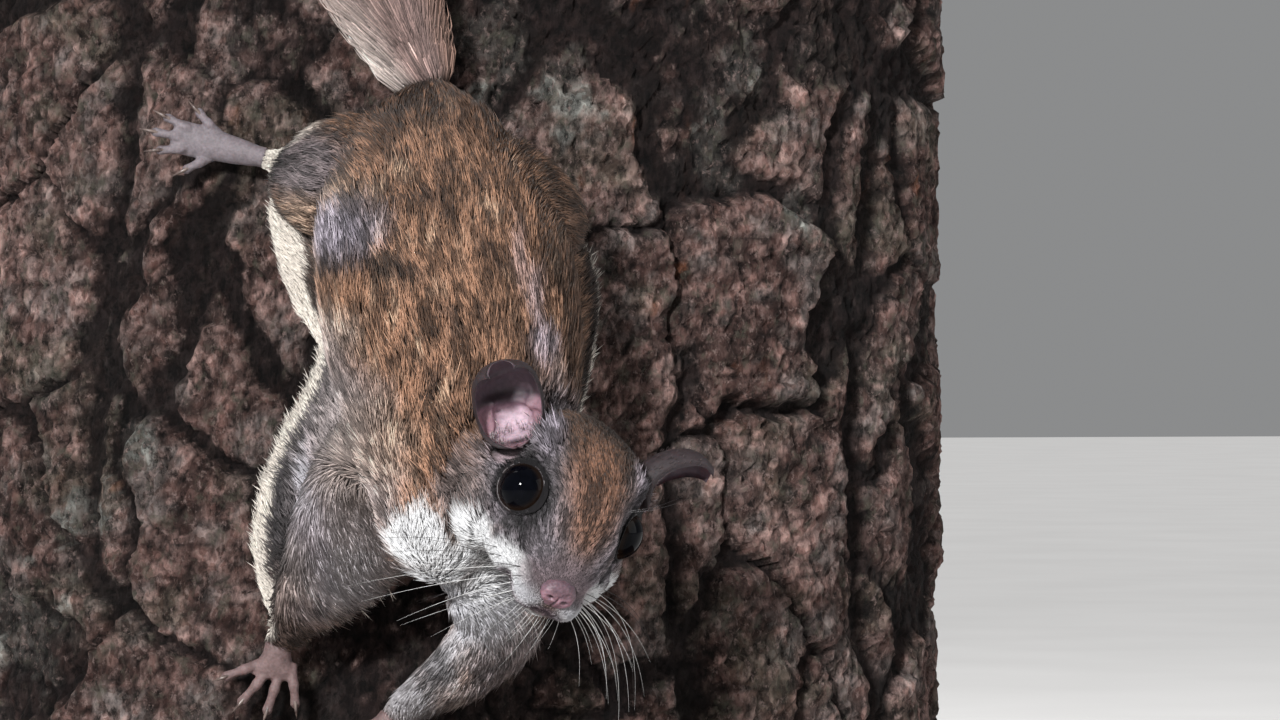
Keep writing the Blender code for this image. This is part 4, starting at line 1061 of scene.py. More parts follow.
def ear_place(points: Array, side: Side) -> tuple[Array, Array]:
    """Height of places above an ear's root, and how far out from its axis, as a share of its radius.

    Ahead of the ear, where the lip is low, places count as farther out.
    """
    root, rise, opens, _ = ear_axes(side)
    offset = points - root
    height = dot(offset, rise)
    radial = np.linalg.norm(offset - height[:, None] * rise, axis=1) / EAR_RADIUS
    return height, radial + 0.26 * ease(0.0, 3.0, dot(offset, opens)) + 3.0 * ease(9.0, 15.0, np.abs(height))


def in_cup(points: Array) -> Array:
    """How far places lie within the cup of either ear: 1 near its axis, 0 at its wall."""
    return np.max([1.0 - ease(0.62, 0.84, ear_place(points, side)[1]) for side in Side], axis=0)


MOUTH: tuple[Row, ...] = ((8.6, -7.6, -8.7), (12.2, -6.4, -9.4), (15.2, -3.9, -9.4), (16.8, 0.0, -9.0))


def mouth_curve() -> Array:
    """The line of the mouth from its right corner to its left one, in the head's axes."""
    half = np.array(MOUTH)
    other = half[-2::-1] * (1.0, -1.0, 1.0)
    return curve(np.concatenate([half, other]), np.linspace(0.0, 1.0, 90))


def add_piece(
    name: str,
    surface: Surface,
    finishes: list[Material],
    nodes: tuple[str, ...],
    tones: Array | None = None,
    corner_map: Array | None = None,
    finish_numbers: Array | None = None,
) -> bpy.types.Object:
    """Makes a finished piece, rides it on the model and lets it stand for CAD nodes.

    Args:
        name: name of the piece.
        surface: its points and faces.
        finishes: its materials.
        nodes: CAD nodes that it replaces.
        tones: one linear colour for each point.
        corner_map: unwrapped place of each face corner, for the bake.
        finish_numbers: which material each face takes.

    Returns:
        The piece.
    """
    mesh = bare_mesh(name, surface)
    for finish in finishes:
        mesh.materials.append(finish)
    if tones is not None:
        layer = mesh.color_attributes.new(TONE, "FLOAT_COLOR", "POINT")
        rgba = np.concatenate([np.clip(tones, 0.0, 1.0), np.ones((len(tones), 1))], axis=1)
        layer.data.foreach_set("color", rgba.astype(np.float32).reshape(-1))
    if corner_map is not None:
        layer = mesh.uv_layers.new(name=BAKE_MAP)
        layer.data.foreach_set("uv", corner_map.astype(np.float32).reshape(-1))
    if finish_numbers is not None:
        mesh.polygons.foreach_set("material_index", finish_numbers.astype(np.int32))
    thing = linked(name, mesh)
    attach(thing, "root")
    if nodes:
        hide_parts(*nodes)
    log.info("%s: %d triangles", name, len(surface.split()))
    return thing


@dataclass
class Skin:
    """The one skin of torso, neck, head, limbs and membranes."""

    coat: Coat
    voxel: float = 0.72
    rounds: int = 6
    face_edge: float = 0.36
    face_middle: Row = (7.0, 0.0, -4.0)
    face_radii: Row = (12.5, 15.0, 11.5)
    lid_height: float = 5.0
    lid_mound: float = 5.6
    socket_floor: float = 3.9
    lip_groove: float = 0.55
    ear_collar: float = 1.9
    philtrum: tuple[Row, Row] = ((17.2, 0.0, -6.4), (16.6, 0.0, -9.0))
    side_pads: tuple[tuple[Row, Row], ...] = (
        ((3.6, 6.4, -6.8), (7.9, 5.1, 5.7)),
        ((-1.8, 10.2, -9.4), (6.4, 5.2, 5.4)),
        ((12.4, 3.2, -7.7), (4.7, 3.4, 3.4)),
        ((-1.5, 5.2, 4.6), (5.9, 4.5, 4.1)),
    )
    middle_pads: tuple[tuple[Row, Row], ...] = (
        ((15.1, 0.0, -4.2), (2.0, 2.4, 1.8)),
        ((14.6, 0.0, -7.2), (2.4, 3.0, 2.5)),
        ((12.2, 0.0, -10.4), (3.9, 3.0, 1.9)),
    )
    nodes: tuple[str, ...] = (
        "torso", "neck", "head", "foreleg_right", "foreleg_left", "hindleg_right", "hindleg_left",
        "membrane_right", "membrane_left",
    )
    charts_at: tuple[tuple[int, int], ...] = (
        (80, 8), (200, 8), (200, 60), (45, 120), (115, 120), (175, 120), (230, 120), (280, 120),
        (10, 190), (60, 190),
    )

    def head_pads(self) -> list[Surface]:
        """Cheeks, lips, brows, lid mounds, nose and chin as balls that swell the skull."""
        axes = HEAD.axes()
        pads = []
        for side in Side:
            for (along, apart, up), radii in self.side_pads:
                pads.append(ball(HEAD.place(along, apart * side.value, up), radii, axes))
            middle, look = eye_axis(side)
            pads.append(ball(middle - look * 1.25, (self.lid_mound,) * 3, axes))
        return pads + [ball(HEAD.place(*place), radii, axes) for place, radii in self.middle_pads]

    def on_face(self, points: Array) -> Array:
        """The longest edge allowed: short on the face, where the lids and lips are, and free elsewhere."""
        local = HEAD.local(points)
        near = np.linalg.norm((local - self.face_middle) / self.face_radii, axis=1) < 1.0
        return np.where(near, self.face_edge, np.inf)

    def sculpted(self, points: Array, normals: Array) -> Array:
        """Presses the sockets, the rolled edge of the lids, the mouth and the philtrum into the face.

        Within an eye's opening a point is drawn to the socket's floor along its ray from the eye, and round
        it to the height of the lid. Within an ear's cup a point sinks along the ear, and round it a collar
        rises as a bell curve. Mouth, philtrum and tear line are bell-shaped grooves round a line, with a roll
        beside the mouth.
        """
        for side in Side:
            height, radial = ear_place(points, side)
            sunk = (1.0 - ease(1.06, 1.22, radial)) * np.maximum(height + 0.6, 0.0)
            collar = self.ear_collar * bell(radial - 1.25, 0.34) * (1.0 - ease(0.0, 3.0, height))
            points = points + ear_axes(side)[1] * (collar - sunk)[:, None]
            way, far, angle = from_eye(points, side)
            past = angle - EYE_OPENING
            close = 1.0 - ease(7.5, 9.5, far)
            margin = ease(-3.0, 5.0, past) * (1.0 - ease(5.0, 34.0, past))
            far = far + (self.lid_height - far) * margin * close * 0.8
            inside = (1.0 - ease(-5.0, 1.0, past)) * close
            far = far + (self.socket_floor - far) * inside
            points = eye_axis(side)[0] + way * far[:, None]
        local = HEAD.local(points)
        lips = distances(local, mouth_curve()).min(axis=1)
        near = np.linalg.norm(local - (10.0, 0.0, -7.0), axis=1) < 14.0
        depth = self.lip_groove * bell(lips, 0.42) - 0.22 * bell(lips - 1.0, 0.5)
        depth = depth + 0.4 * bell(capsule(local, *self.philtrum), 0.4)
        for side in Side:
            depth = depth + 0.35 * bell(tear_distance(local, side), 0.55)
        return points - normals * (depth * near)[:, None]

    def surface(self) -> Surface:
        """The fused, refined and sculpted skin, as triangles."""
        pieces = [part.surface() for part in self.coat.parts()] + self.head_pads()
        skin = fused(joined(pieces), self.voxel, self.rounds)
        for _ in range(2):
            skin = refined(skin, self.on_face)
        return Surface(self.sculpted(skin.points, skin.normals()), triangles=skin.triangles)

    def charts(self, owners: Array, lengths: Array) -> Array:
        """Places on the unwrap: each part's lengths round it and along it, in a cell of its own.

        Args:
            owners: number of the part for each place.
            lengths: the two lengths on that part, in millimetres.

        Returns:
            Map places between 0 and 1.
        """
        return (np.array(self.charts_at)[owners] + lengths) / MAP_SPAN

    def corner_map(self, surface: Surface) -> Array:
        """The unwrap at each corner: a face takes the chart of its middle, laid out along the hair there."""
        faces = surface.triangles
        corners = surface.points[faces]
        middles = corners.mean(axis=1)
        normals = unit(np.cross(corners[:, 1] - corners[:, 0], corners[:, 2] - corners[:, 0]))
        ways, owners, lengths = self.coat.lie(middles, normals)
        beside = np.cross(ways, normals)
        offset = corners - middles[:, None]
        local = np.stack([dot(offset, beside[:, None]), dot(offset, ways[:, None])], axis=-1)
        return (self.charts(owners, lengths)[:, None] + local / MAP_SPAN).reshape(-1, 2)

    def build(self, fur: Material) -> Surface:
        """Makes the piece and returns its surface, for the tufts to root on."""
        skin = self.surface()
        normals = skin.normals()
        tones = self.coat.tone(skin.points, normals)
        tones = tones * (0.45 + 0.4 * ease(0.38, 0.62, tones.mean(axis=1)))[:, None]
        add_piece("skin", skin, [fur], self.nodes, tones, self.corner_map(skin))
        return skin


def spikes(bases: Array, rings: Array, tips: Array) -> Surface:
    """Closed three-sided spikes, each from a pole at its base through a few rings to its tip.

    Args:
        bases: one point for each spike.
        rings: points as spikes by rings by three corners by 3.
        tips: one tip for each spike.

    Returns:
        All spikes as one surface, with the points of a spike in a row.
    """
    count, levels = rings.shape[:2]
    points = np.concatenate([bases[:, None], rings.reshape(count, levels * 3, 3), tips[:, None]], axis=1)
    start = (np.arange(count) * (levels * 3 + 2))[:, None, None]
    walls = [
        (1 + k + 3 * j, 1 + (k + 1) % 3 + 3 * j, 4 + (k + 1) % 3 + 3 * j, 4 + k + 3 * j)
        for j in range(levels - 1)
        for k in range(3)
    ]
    last = 3 * levels - 2
    ends = [(0, 1 + (k + 1) % 3, 1 + k) for k in range(3)]
    ends += [(last + k, last + (k + 1) % 3, last + 3) for k in range(3)]
    quads = (np.array(walls, np.int64).reshape(1, -1, 4) + start).reshape(-1, 4)
    triangles = (np.array(ends)[None] + start).reshape(-1, 3)
    return Surface(points.reshape(-1, 3), quads, triangles).outward()


def ring_shape(width: Array, beside: Array, out: Array, high: float = 0.5) -> Array:
    """Three corners of a spike's ring: half its width to each side, and a share of it outwards.

    Args:
        width: width of each spike.
        beside: way across each spike.
        out: way out of the surface at each.
        high: how far the third corner stands out, as a share of the width.

    Returns:
        Offsets from the ring's middle, as spikes by corners by 3.
    """
    corners = np.array([(-0.5, 0.0), (0.5, 0.0), (0.0, high)])
    return width[:, None, None] * (corners[:, 0, None] * beside[:, None] + corners[:, 1, None] * out[:, None])


def corner_values(surface: Surface, values: Array) -> Array:
    """Values of the points read at the corners of the faces, quads first."""
    return np.concatenate([values[surface.quads.reshape(-1)], values[surface.triangles.reshape(-1)]])


@dataclass
class Tufts:
    """The body's fur as thin closed tufts that lie on the skin.

    Hair holds a row for each part of the body in the coat's order: length, rise and width of a tuft, tufts
    on a square millimetre, and the size of a lock.
    """

    coat: Coat
    skin: Skin
    most: int = 32000
    guards: float = 0.08
    root_depth: float = 0.4
    pad_middle: Row = (16.3, 0.0, -4.7)
    pad_radii: Row = (2.8, 3.3, 3.0)
    hair: tuple[Row, ...] = (
        (3.9, 1.35, 0.29, 10.5, 1.25),
        (3.9, 1.3, 0.28, 12.0, 1.2),
        (2.2, 0.52, 0.21, 18.0, 0.85),
        (5.2, 1.15, 0.28, 13.5, 1.7),
        (4.8, 1.05, 0.28, 13.5, 1.6),
        (3.6, 0.95, 0.25, 13.5, 1.2),
        (3.6, 0.9, 0.24, 13.5, 1.1),
        (3.0, 0.7, 0.24, 14.0, 1.0),
        (3.0, 0.5, 0.24, 9.0, 1.1),
        (3.0, 0.5, 0.24, 9.0, 1.1),
    )
    shared_nodes: tuple[tuple[str, str], ...] = (
        ("thigh_left", "hindleg_left"),
        ("shank_left", "hindleg_left"),
    )
    slots: tuple[tuple[str, str], ...] = (
        ("head", "fur_face"),
        ("membrane_right", "fur_edge"),
        ("membrane_left", "fur_edge"),
    )
    wrists: tuple[Row, ...] = (
        (-42.4, -12.6, 82.0),
        (-22.4, -15.4, 68.6),
        (-45.4, -12.0, 167.8),
        (1.6, -15.0, 162.6),
    )

    def sizes(self, points: Array, normals: Array, owners: Array) -> tuple[Array, Array, Array, Array]:
        """Length, width, rise and number per square millimetre of the tufts at places on the skin.

        Length falls smoothly towards wrists, nose and eyes, and where the coat faces the bark the tufts are
        fewer.
        """
        length, rise, width, rate, _ = np.array(self.hair)[owners].T
        reach = np.min([np.linalg.norm(points - wrist, axis=1) for wrist in self.wrists], axis=0)
        short = 0.30 + 0.70 * ease(0.0, 13.0, reach)
        local = HEAD.local(points)
        face = 0.30 + 0.70 * ease(2.0, 20.0, np.linalg.norm(local - NOSE_TIP, axis=1))
        on_head = 1.0 - ease(18.0, 26.0, np.linalg.norm(local, axis=1))
        short = short * (1.0 + (face - 1.0) * on_head)
        for side in Side:
            short = short * (0.42 + 0.58 * ease(5.0, 10.0, from_eye(points, side)[1]))
        hidden = ease(0.2, 0.6, normals[:, 1])
        length = length * short
        rise = rise * (0.22 + 0.78 * short)
        width = width * (0.42 + 0.58 * short)
        rate = rate * (1.0 + 1.6 * (1.0 - short) * on_head) * (1.0 - 0.72 * hidden)
        return length, width, rise, rate

    def bare(self, points: Array) -> Array:
        """Whether places lie where no hair grows: in the lids, the nose pad, the lips and the ears."""
        local = HEAD.local(points)
        bare = np.linalg.norm((local - self.pad_middle) / self.pad_radii, axis=1) < 1.0
        bare |= distances(local, mouth_curve()).min(axis=1) < 0.75
        bare |= in_cup(points) > 0.35
        for side in Side:
            height, radial = ear_place(points, side)
            root, _, opens, _ = ear_axes(side)
            behind = (points - root) @ opens < 0.5
            bare |= (radial < 1.5) & (height > 0.9) & behind
            bare |= (radial < 1.02) & (height > 0.4)
            _, far, angle = from_eye(points, side)
            bare |= (far < 6.5) & (angle < EYE_OPENING + 5.0)
        return bare

    def roots(self, skin: Surface, draw: np.random.Generator) -> tuple[Array, Array]:
        """Places and normals on the skin, spread by each triangle's area times the rate there.

        The running sum of area times rate is read at even steps, each jittered by up to a step.
        """
        corners = skin.points[skin.triangles]
        normals = skin.normals()[skin.triangles]
        middles = corners.mean(axis=1)
        faces = unit(normals.mean(axis=1))
        owners = self.coat.lie(middles, faces)[1]
        rate = self.sizes(middles, faces, owners)[3]
        a, b, c = corners.transpose(1, 0, 2)
        area = 0.5 * np.linalg.norm(np.cross(b - a, c - a), axis=1)
        running = np.cumsum(area * rate * ~self.bare(middles))
        count = int(running[-1])
        chosen = np.searchsorted(running, (np.arange(count) + draw.random(count)) / count * running[-1])
        chosen = np.minimum(chosen, len(area) - 1)
        a, b = draw.random((2, count, 1))
        swap = a + b > 1.0
        a, b = np.where(swap, 1.0 - a, a), np.where(swap, 1.0 - b, b)
        weights = np.stack([1.0 - a - b, a, b], axis=1)
        return (corners[chosen] * weights).sum(axis=1), unit((normals[chosen] * weights).sum(axis=1))

    def tones(
        self, points: Array, normals: Array, spots: Array, lock: Array, draw: np.random.Generator
    ) -> Array:
        """Colour at base, knee and tip: dark undercoat with painted shade, the coat's own tone, and dark or
        pale.

        Streaks are a noise on the unwrap, four times as long as wide. How pale a tip is comes from its lock,
        from the streak and from chance, and the rim of a lock is darker than its middle.

        Args:
            points: roots of the tufts.
            normals: way out of the skin at the roots.
            spots: lengths round and along the body at the roots.
            lock: how far each root is from its lock's middle, and the lock's own number.
            draw: source of chance.

        Returns:
            Three linear colours for each tuft.
        """
        base = self.coat.tone(points, normals)
        bright = ease(0.38, 0.62, base.mean(axis=1))[:, None]
        nose = np.linalg.norm(HEAD.local(points) - NOSE_TIP, axis=1)[:, None]
        calm = (1.0 - 0.8 * bright) * (0.25 + 0.75 * ease(3.0, 10.0, nose))
        streak = fractal(spots * (1.0, 0.26), 1.5, 53, 3)[:, None]
        chance = draw.random((len(points), 1))
        pale = 0.62 * lock[:, 1:] + 0.50 * chance + 0.46 * streak - 0.34 * lock[:, :1] + 0.02
        pale = np.clip((pale - 0.40) / 0.26, -1.0, 1.0)
        knee = base * np.exp((0.55 * pale + 0.38 * streak) * calm)
        tip = base * np.exp((1.05 * pale - 0.08) * calm) + 0.035 * np.maximum(pale, 0.0) * calm
        tip = tip * (1.0 - bright) + base * (0.88 + 0.12 * chance + 0.05 * pale) * bright
        # Base and knee darker: the undercoat, and painted shade deep in the coat.
        return np.stack([base * (0.16 + 0.60 * bright), knee * (0.72 + 0.28 * bright), tip], axis=1)

    def build(self, skin: Surface, fur: Material) -> None:
        """Grows the tufts in pieces of one part of the body each.

        A tuft runs from a base under the skin to a raised knee and a tip that lies back over its neighbours.
        About one in twelve is a longer guard hair.
        """
        draw = np.random.default_rng(SEED)
        points, normals = self.roots(skin, draw)
        ways, owners, lengths = self.coat.lie(points, normals)
        length, width, rise, _ = self.sizes(points, normals, owners)
        count = len(points)
        guard = draw.random(count) < self.guards
        length = length * draw.uniform(0.66, 1.15, count) * (1.0 + 0.35 * guard)
        rise = rise * draw.uniform(0.40, 1.1, count) * (1.0 + 0.25 * guard)
        width = width * draw.uniform(0.7, 1.2, count)
        beside = np.cross(ways, normals)
        gather, away, number = locks(points, np.array(self.hair)[owners, 4], 55)
        bright = self.coat.tone(points, normals).mean(axis=1)
        nose = np.linalg.norm(HEAD.local(points) - NOSE_TIP, axis=1)
        lean = (1.0 - 0.5 * ease(0.4, 0.6, bright)) * ease(2.0, 13.0, nose)
        gather = (gather - normals * dot(gather, normals)[:, None]) * lean[:, None]
        ways = unit(ways + beside * (draw.normal(0.0, 0.10, count) + noise(points, 2.6, 54) * 0.16)[:, None])
        beside = unit(np.cross(ways, normals))
        bend = beside * (draw.normal(0.0, 0.07, count) * length)[:, None]
        knee = points + ways * (length * 0.42)[:, None] + normals * (rise * 0.72)[:, None] + gather * 0.30
        tips = points + ways * length[:, None] + normals * rise[:, None] + bend + gather * 0.62
        bases = points - normals * self.root_depth
        rings = (knee[:, None] + ring_shape(width, beside, normals))[:, None]
        tones = self.tones(points, normals, lengths, np.stack([away, number], axis=-1), draw)
        tones = np.stack([tones[:, 0]] + [tones[:, 1]] * 3 + [tones[:, 2]], axis=1)
        spots = self.skin.charts(owners, lengths)[:, None] + TUFT_MAP
        for number, body in enumerate(self.coat.parts()):
            node = dict(self.shared_nodes).get(body.name, body.name)
            chosen = np.flatnonzero(owners == number)
            chosen = chosen[np.argsort(points[chosen, 2])]
            for part, block in enumerate(np.array_split(chosen, max(1, math.ceil(len(chosen) / self.most)))):
                made = spikes(bases[block], rings[block], tips[block])
                shades, flat = tones[block].reshape(-1, 3), spots[block].reshape(-1, 2)
                name = f"coat_{body.name}_{part + 1}"
                add_piece(name, made, [fur], (node,), shades, corner_values(made, flat))


@dataclass
class Tail:
    """The flat tail: a slim core, and long hair that sweeps out and back on both sides.

    A row of the bone holds x, z, height off the bark and half width. Rings hold a share of a hair's length
    and of its width.
    """

    tones: CoatTones = CoatTones()
    bone: tuple[Row, ...] = (
        (-17.4, 178.6, 10.5, 8.0),
        (-20.4, 186.0, 8.2, 10.4),
        (-24.6, 197.0, 6.6, 13.2),
        (-29.6, 210.0, 6.0, 14.0),
        (-34.0, 224.0, 5.8, 13.8),
        (-37.0, 238.0, 5.8, 12.8),
        (-38.4, 252.0, 6.0, 10.6),
        (-38.4, 264.0, 6.6, 6.4),
    )
    core_share: float = 0.42
    core_depth: float = 2.2
    core_ends: tuple[float, float] = (1.0, 3.0)
    hairs: int = 31000
    length: float = 17.0
    widest: float = 14.0
    rings: tuple[tuple[float, float], ...] = ((0.30, 1.0), (0.68, 0.72))
    pieces: int = 2

    def frames(self, shares: Array) -> tuple[Array, Array, Array, Array, Array]:
        """Place, way along, way out, way across and half width at shares of the bone."""
        rows = curve(np.array(self.bone), shares)
        ahead = curve(np.array(self.bone), np.minimum(shares + 0.02, 1.0))
        behind = curve(np.array(self.bone), np.maximum(shares - 0.02, 0.0))
        along = unit(LOG.at(ahead[:, :3]) - LOG.at(behind[:, :3]))
        back = np.array(BACK)
        out = unit(back - along * dot(along, back)[:, None])
        return LOG.at(rows[:, :3]), along, out, np.cross(along, out), rows[:, 3]

    def core(self) -> Surface:
        """An oval carried along the bone."""
        places, along, out, side, half = self.frames(np.linspace(0.0, 1.0, 60))
        sizes = np.stack([half * self.core_share, np.full(len(half), self.core_depth)], axis=-1)
        return swept((places, along, side, out, sizes), 28, reach=self.core_ends)

    def tone(self, across: Array, share: Array, level: Array) -> Array:
        """Brown-grey over the middle, paler towards the root's edge and below."""
        t = self.tones
        tone = np.tile(np.array(t.tail), (len(across), 1))
        edge = ease(0.35, 1.0, -across) * (1.0 - ease(0.05, 0.4, share))
        tone = blend(tone, np.array(t.tail_light), edge * 0.9)
        tone = blend(tone, np.array(t.back), ease(0.35, 1.0, across) * 0.5)
        return blend(tone, np.array(t.tail_light), ease(0.1, 0.8, -level) * 0.6)

    def build(self, fur: Material) -> None:
        """Makes the core and the hair in pieces.

        A hair's root lies on the core at a share across, and its tip lies back along the bone and out by the
        same share of the half width, with two rings between them on an arc.
        """
        draw = np.random.default_rng(SEED + 1)
        core = self.core()
        shade = np.tile(np.array(self.tones.tail) * 0.5, (len(core.points), 1))
        flat = core.points[:, [0, 2]] / TAIL_MAP_SPAN + TAIL_MAP_START
        add_piece("tail_core", core, [fur], ("tail",), shade, corner_values(core, flat))
        count = self.hairs
        shares = np.sort(draw.random(count)) ** 0.9
        across = np.clip(draw.uniform(-1.05, 1.05, count), -1.0, 1.0)
        level = draw.choice([-1.0, 1.0, 1.0], count) * np.sqrt(1.0 - across**2)
        level = level * draw.uniform(0.6, 1.0, count)
        places, along, out, side, half = self.frames(shares)
        run = self.length * (0.45 + 0.55 * half / self.widest) * draw.uniform(0.6, 1.08, count)
        half = half[:, None]
        start = places + side * across[:, None] * half * self.core_share * 0.9
        start = start + out * (level * (self.core_depth - 0.3))[:, None]
        spread = across * draw.uniform(0.8, 1.04, count) + draw.normal(0.0, 0.04, count)
        spread = spread * (1.0 - 0.25 * shares**3)
        tip = places + along * run[:, None] + side * spread[:, None] * half
        tip = tip + out * (level * (0.5 + draw.uniform(0.0, 1.2, count)))[:, None]
        reach = tip - start
        arch = side * across[:, None] * half * 0.16 + out * (level * 1.3)[:, None]
        width = draw.uniform(0.26, 0.42, count)
        shape = ring_shape(width, unit(np.cross(reach, out)), out, 0.45)
        rings = [
            start[:, None] + (reach * t + arch * math.sin(math.pi * t))[:, None] + shape * size
            for t, size in self.rings
        ]
        streak = fractal(np.stack([across * 30.0, shares * 26.0], axis=-1), 3.0, 55, 3)[:, None]
        chance = draw.normal(0.0, 1.0, (count, 1))
        base = self.tone(across, shares, level) * np.exp(0.30 * chance + 0.45 * streak)
        tip_tone = base * draw.choice([0.45, 1.0, 1.6], (count, 1))
        tones = np.stack([base * 0.3] + [base * 0.7] * 3 + [base] * 3 + [tip_tone], axis=1)
        spots = (start[:, [0, 2]] / TAIL_MAP_SPAN + TAIL_MAP_START)[:, None] + TAIL_HAIR_MAP
        rings_all, order = np.stack(rings, axis=1), draw.permutation(count)
        for part, block in enumerate(np.array_split(order, self.pieces)):
            made = spikes(start[block], rings_all[block], tip[block])
            shades, flat = tones[block].reshape(-1, 3), spots[block].reshape(-1, 2)
            name = f"tail_hair_{part + 1}"
            add_piece(name, made, [fur], ("tail",), shades, corner_values(made, flat))


@dataclass
class Eyes:
    """The dark bulging eyes and the bare edges of their lids."""

    pupil: Row = (0.0015, 0.0018, 0.0035)
    iris: Row = (0.016, 0.009, 0.006)
    lid_width: float = 0.62
    lid_thick: float = 0.5
    lid_gap: float = 0.12
    corner_pull: float = 10.0
    rings: int = 120
    sides: int = 12

    def globe(self, side: Side) -> tuple[Surface, Array]:
        """An eyeball about the way it looks, and its tones: a black pupil in a dark brown iris."""
        middle, look = eye_axis(side)
        across = unit(np.cross(look, HEAD.axes()[2]))
        axes = np.stack([look, across, np.cross(look, across)])
        eye = ball(middle, (EYE_RADIUS,) * 3, axes, 40, 64)
        tones = np.tile(np.array(self.pupil), (len(eye.points), 1))
        return eye, blend(tones, np.array(self.iris), ease(44.0, 60.0, from_eye(eye.points, side)[2]))

    def lid(self, side: Side) -> Surface:
        """The lid's edge: an oval carried round the opening, drawn out to a point at the front corner."""
        middle, look = eye_axis(side)
        front = HEAD.way(0.86, -0.1 * side.value, -0.5)
        front = unit(front - look * dot(front, look))
        above = np.cross(look, front)
        turns = 2 * np.pi * np.arange(self.rings) / self.rings
        apart = np.abs((turns + np.pi) % (2 * np.pi) - np.pi)
        pull = bell(apart, 0.30)
        behind = bell(np.pi - apart, 0.35)
        angle = np.radians(EYE_OPENING + 1.5 + self.corner_pull * pull + 2.5 * behind)
        radial = np.cos(turns)[:, None] * front + np.sin(turns)[:, None] * above
        way = np.cos(angle)[:, None] * look + np.sin(angle)[:, None] * radial
        slide = -np.sin(angle)[:, None] * look + np.cos(angle)[:, None] * radial
        spin = 2 * np.pi * np.arange(self.sides) / self.sides
        size = (1.0 + 0.5 * pull)[:, None, None]
        rings = middle + way[:, None] * (EYE_RADIUS + self.lid_gap)
        rings = rings + slide[:, None] * (np.cos(spin)[:, None] * self.lid_width * 0.5) * size
        rings = rings + way[:, None] * (np.sin(spin)[:, None] * self.lid_thick * 0.5)
        index = np.arange(self.rings * self.sides).reshape(self.rings, self.sides)
        return Surface(rings.reshape(-1, 3), grid_quads(index, around=True, over=True)).outward()

    def build(self, glossy: Material, rim: Material) -> None:
        """Makes both eyes and lids."""
        for side, node in ((Side.RIGHT, "eye_right"), (Side.LEFT, "eye_left")):
            eye, tones = self.globe(side)
            add_piece(node + "_globe", eye, [glossy], (node,), tones)
            add_piece(node + "_lid", self.lid(side), [rim], (node,))


@dataclass
class Nose:
    """The bare nose pad with its nostrils and the groove down its middle."""

    middle: Row = (15.5, 0.0, -4.9)
    radii: Row = (2.4, 3.3, 2.8)
    nostril: float = 1.35
    pink: Row = (0.315, 0.18, 0.22)
    # Painted shade in the nostrils, their slits and the seam.
    dark: Row = (0.014, 0.006, 0.008)
    border: Row = (0.13, 0.078, 0.098)

    def build(self, finish: Material) -> None:
        """Makes the pad: a ball with bell-shaped pits at the nostrils, a slit out from each, and a seam."""
        axes = HEAD.axes()
        pad = ball(HEAD.place(*self.middle), self.radii, axes, 90, 120)
        local = HEAD.local(pad.points) - self.middle
        pits = np.zeros(len(local))
        for side in Side:
            sign = side.value
            hole = np.linalg.norm((local - (1.35, 1.45 * sign, -0.15)) / (1.2, 0.62, 0.5), axis=1)
            slit = capsule(local, (1.2, 1.9 * sign, 0.0), (0.0, 2.75 * sign, 0.75))
            pits = np.maximum(pits, np.exp(-(hole**3)))
            pits = np.maximum(pits, 0.75 * bell(slit, 0.32))
        seam = bell(local[:, 1], 0.22) * (local[:, 0] > 0.0) * ease(1.2, -0.4, local[:, 2])
        roll = 0.28 * bell(np.abs(local[:, 1]) - 1.7, 0.9) * ease(1.8, 0.0, np.abs(local[:, 2]))
        grain = 0.05 * noise(local, 0.2, 61) + 0.10 * noise(local, 0.55, 63)
        blunt = 0.45 * ease(1.3, 2.3, local[:, 0])
        depth = self.nostril * pits + 0.42 * seam - roll - grain + blunt
        pad.points -= pad.normals() * depth[:, None]
        pink, dark, edge = (np.array(tone) for tone in (self.pink, self.dark, self.border))
        tones = np.tile(pink, (len(local), 1))
        tones = blend(tones, edge, ease(0.2, 1.6, local[:, 2]) * 0.8)
        tones = blend(tones, edge, ease(0.5, 2.4, -local[:, 2]) * 0.5)
        tones = blend(tones, edge, ease(1.5, 0.2, local[:, 0]) * 0.7)
        tones = tones * (1.0 + 0.30 * fractal(local, 0.9, 62, 4))[:, None]
        # Painted shade: near black in the nostril pits, their slits and the seam.
        tones = blend(tones, dark, np.clip(pits * 1.15 + 0.5 * seam, 0.0, 1.0))
        add_piece("nose_pad", pad, [finish], ("head",), tones)


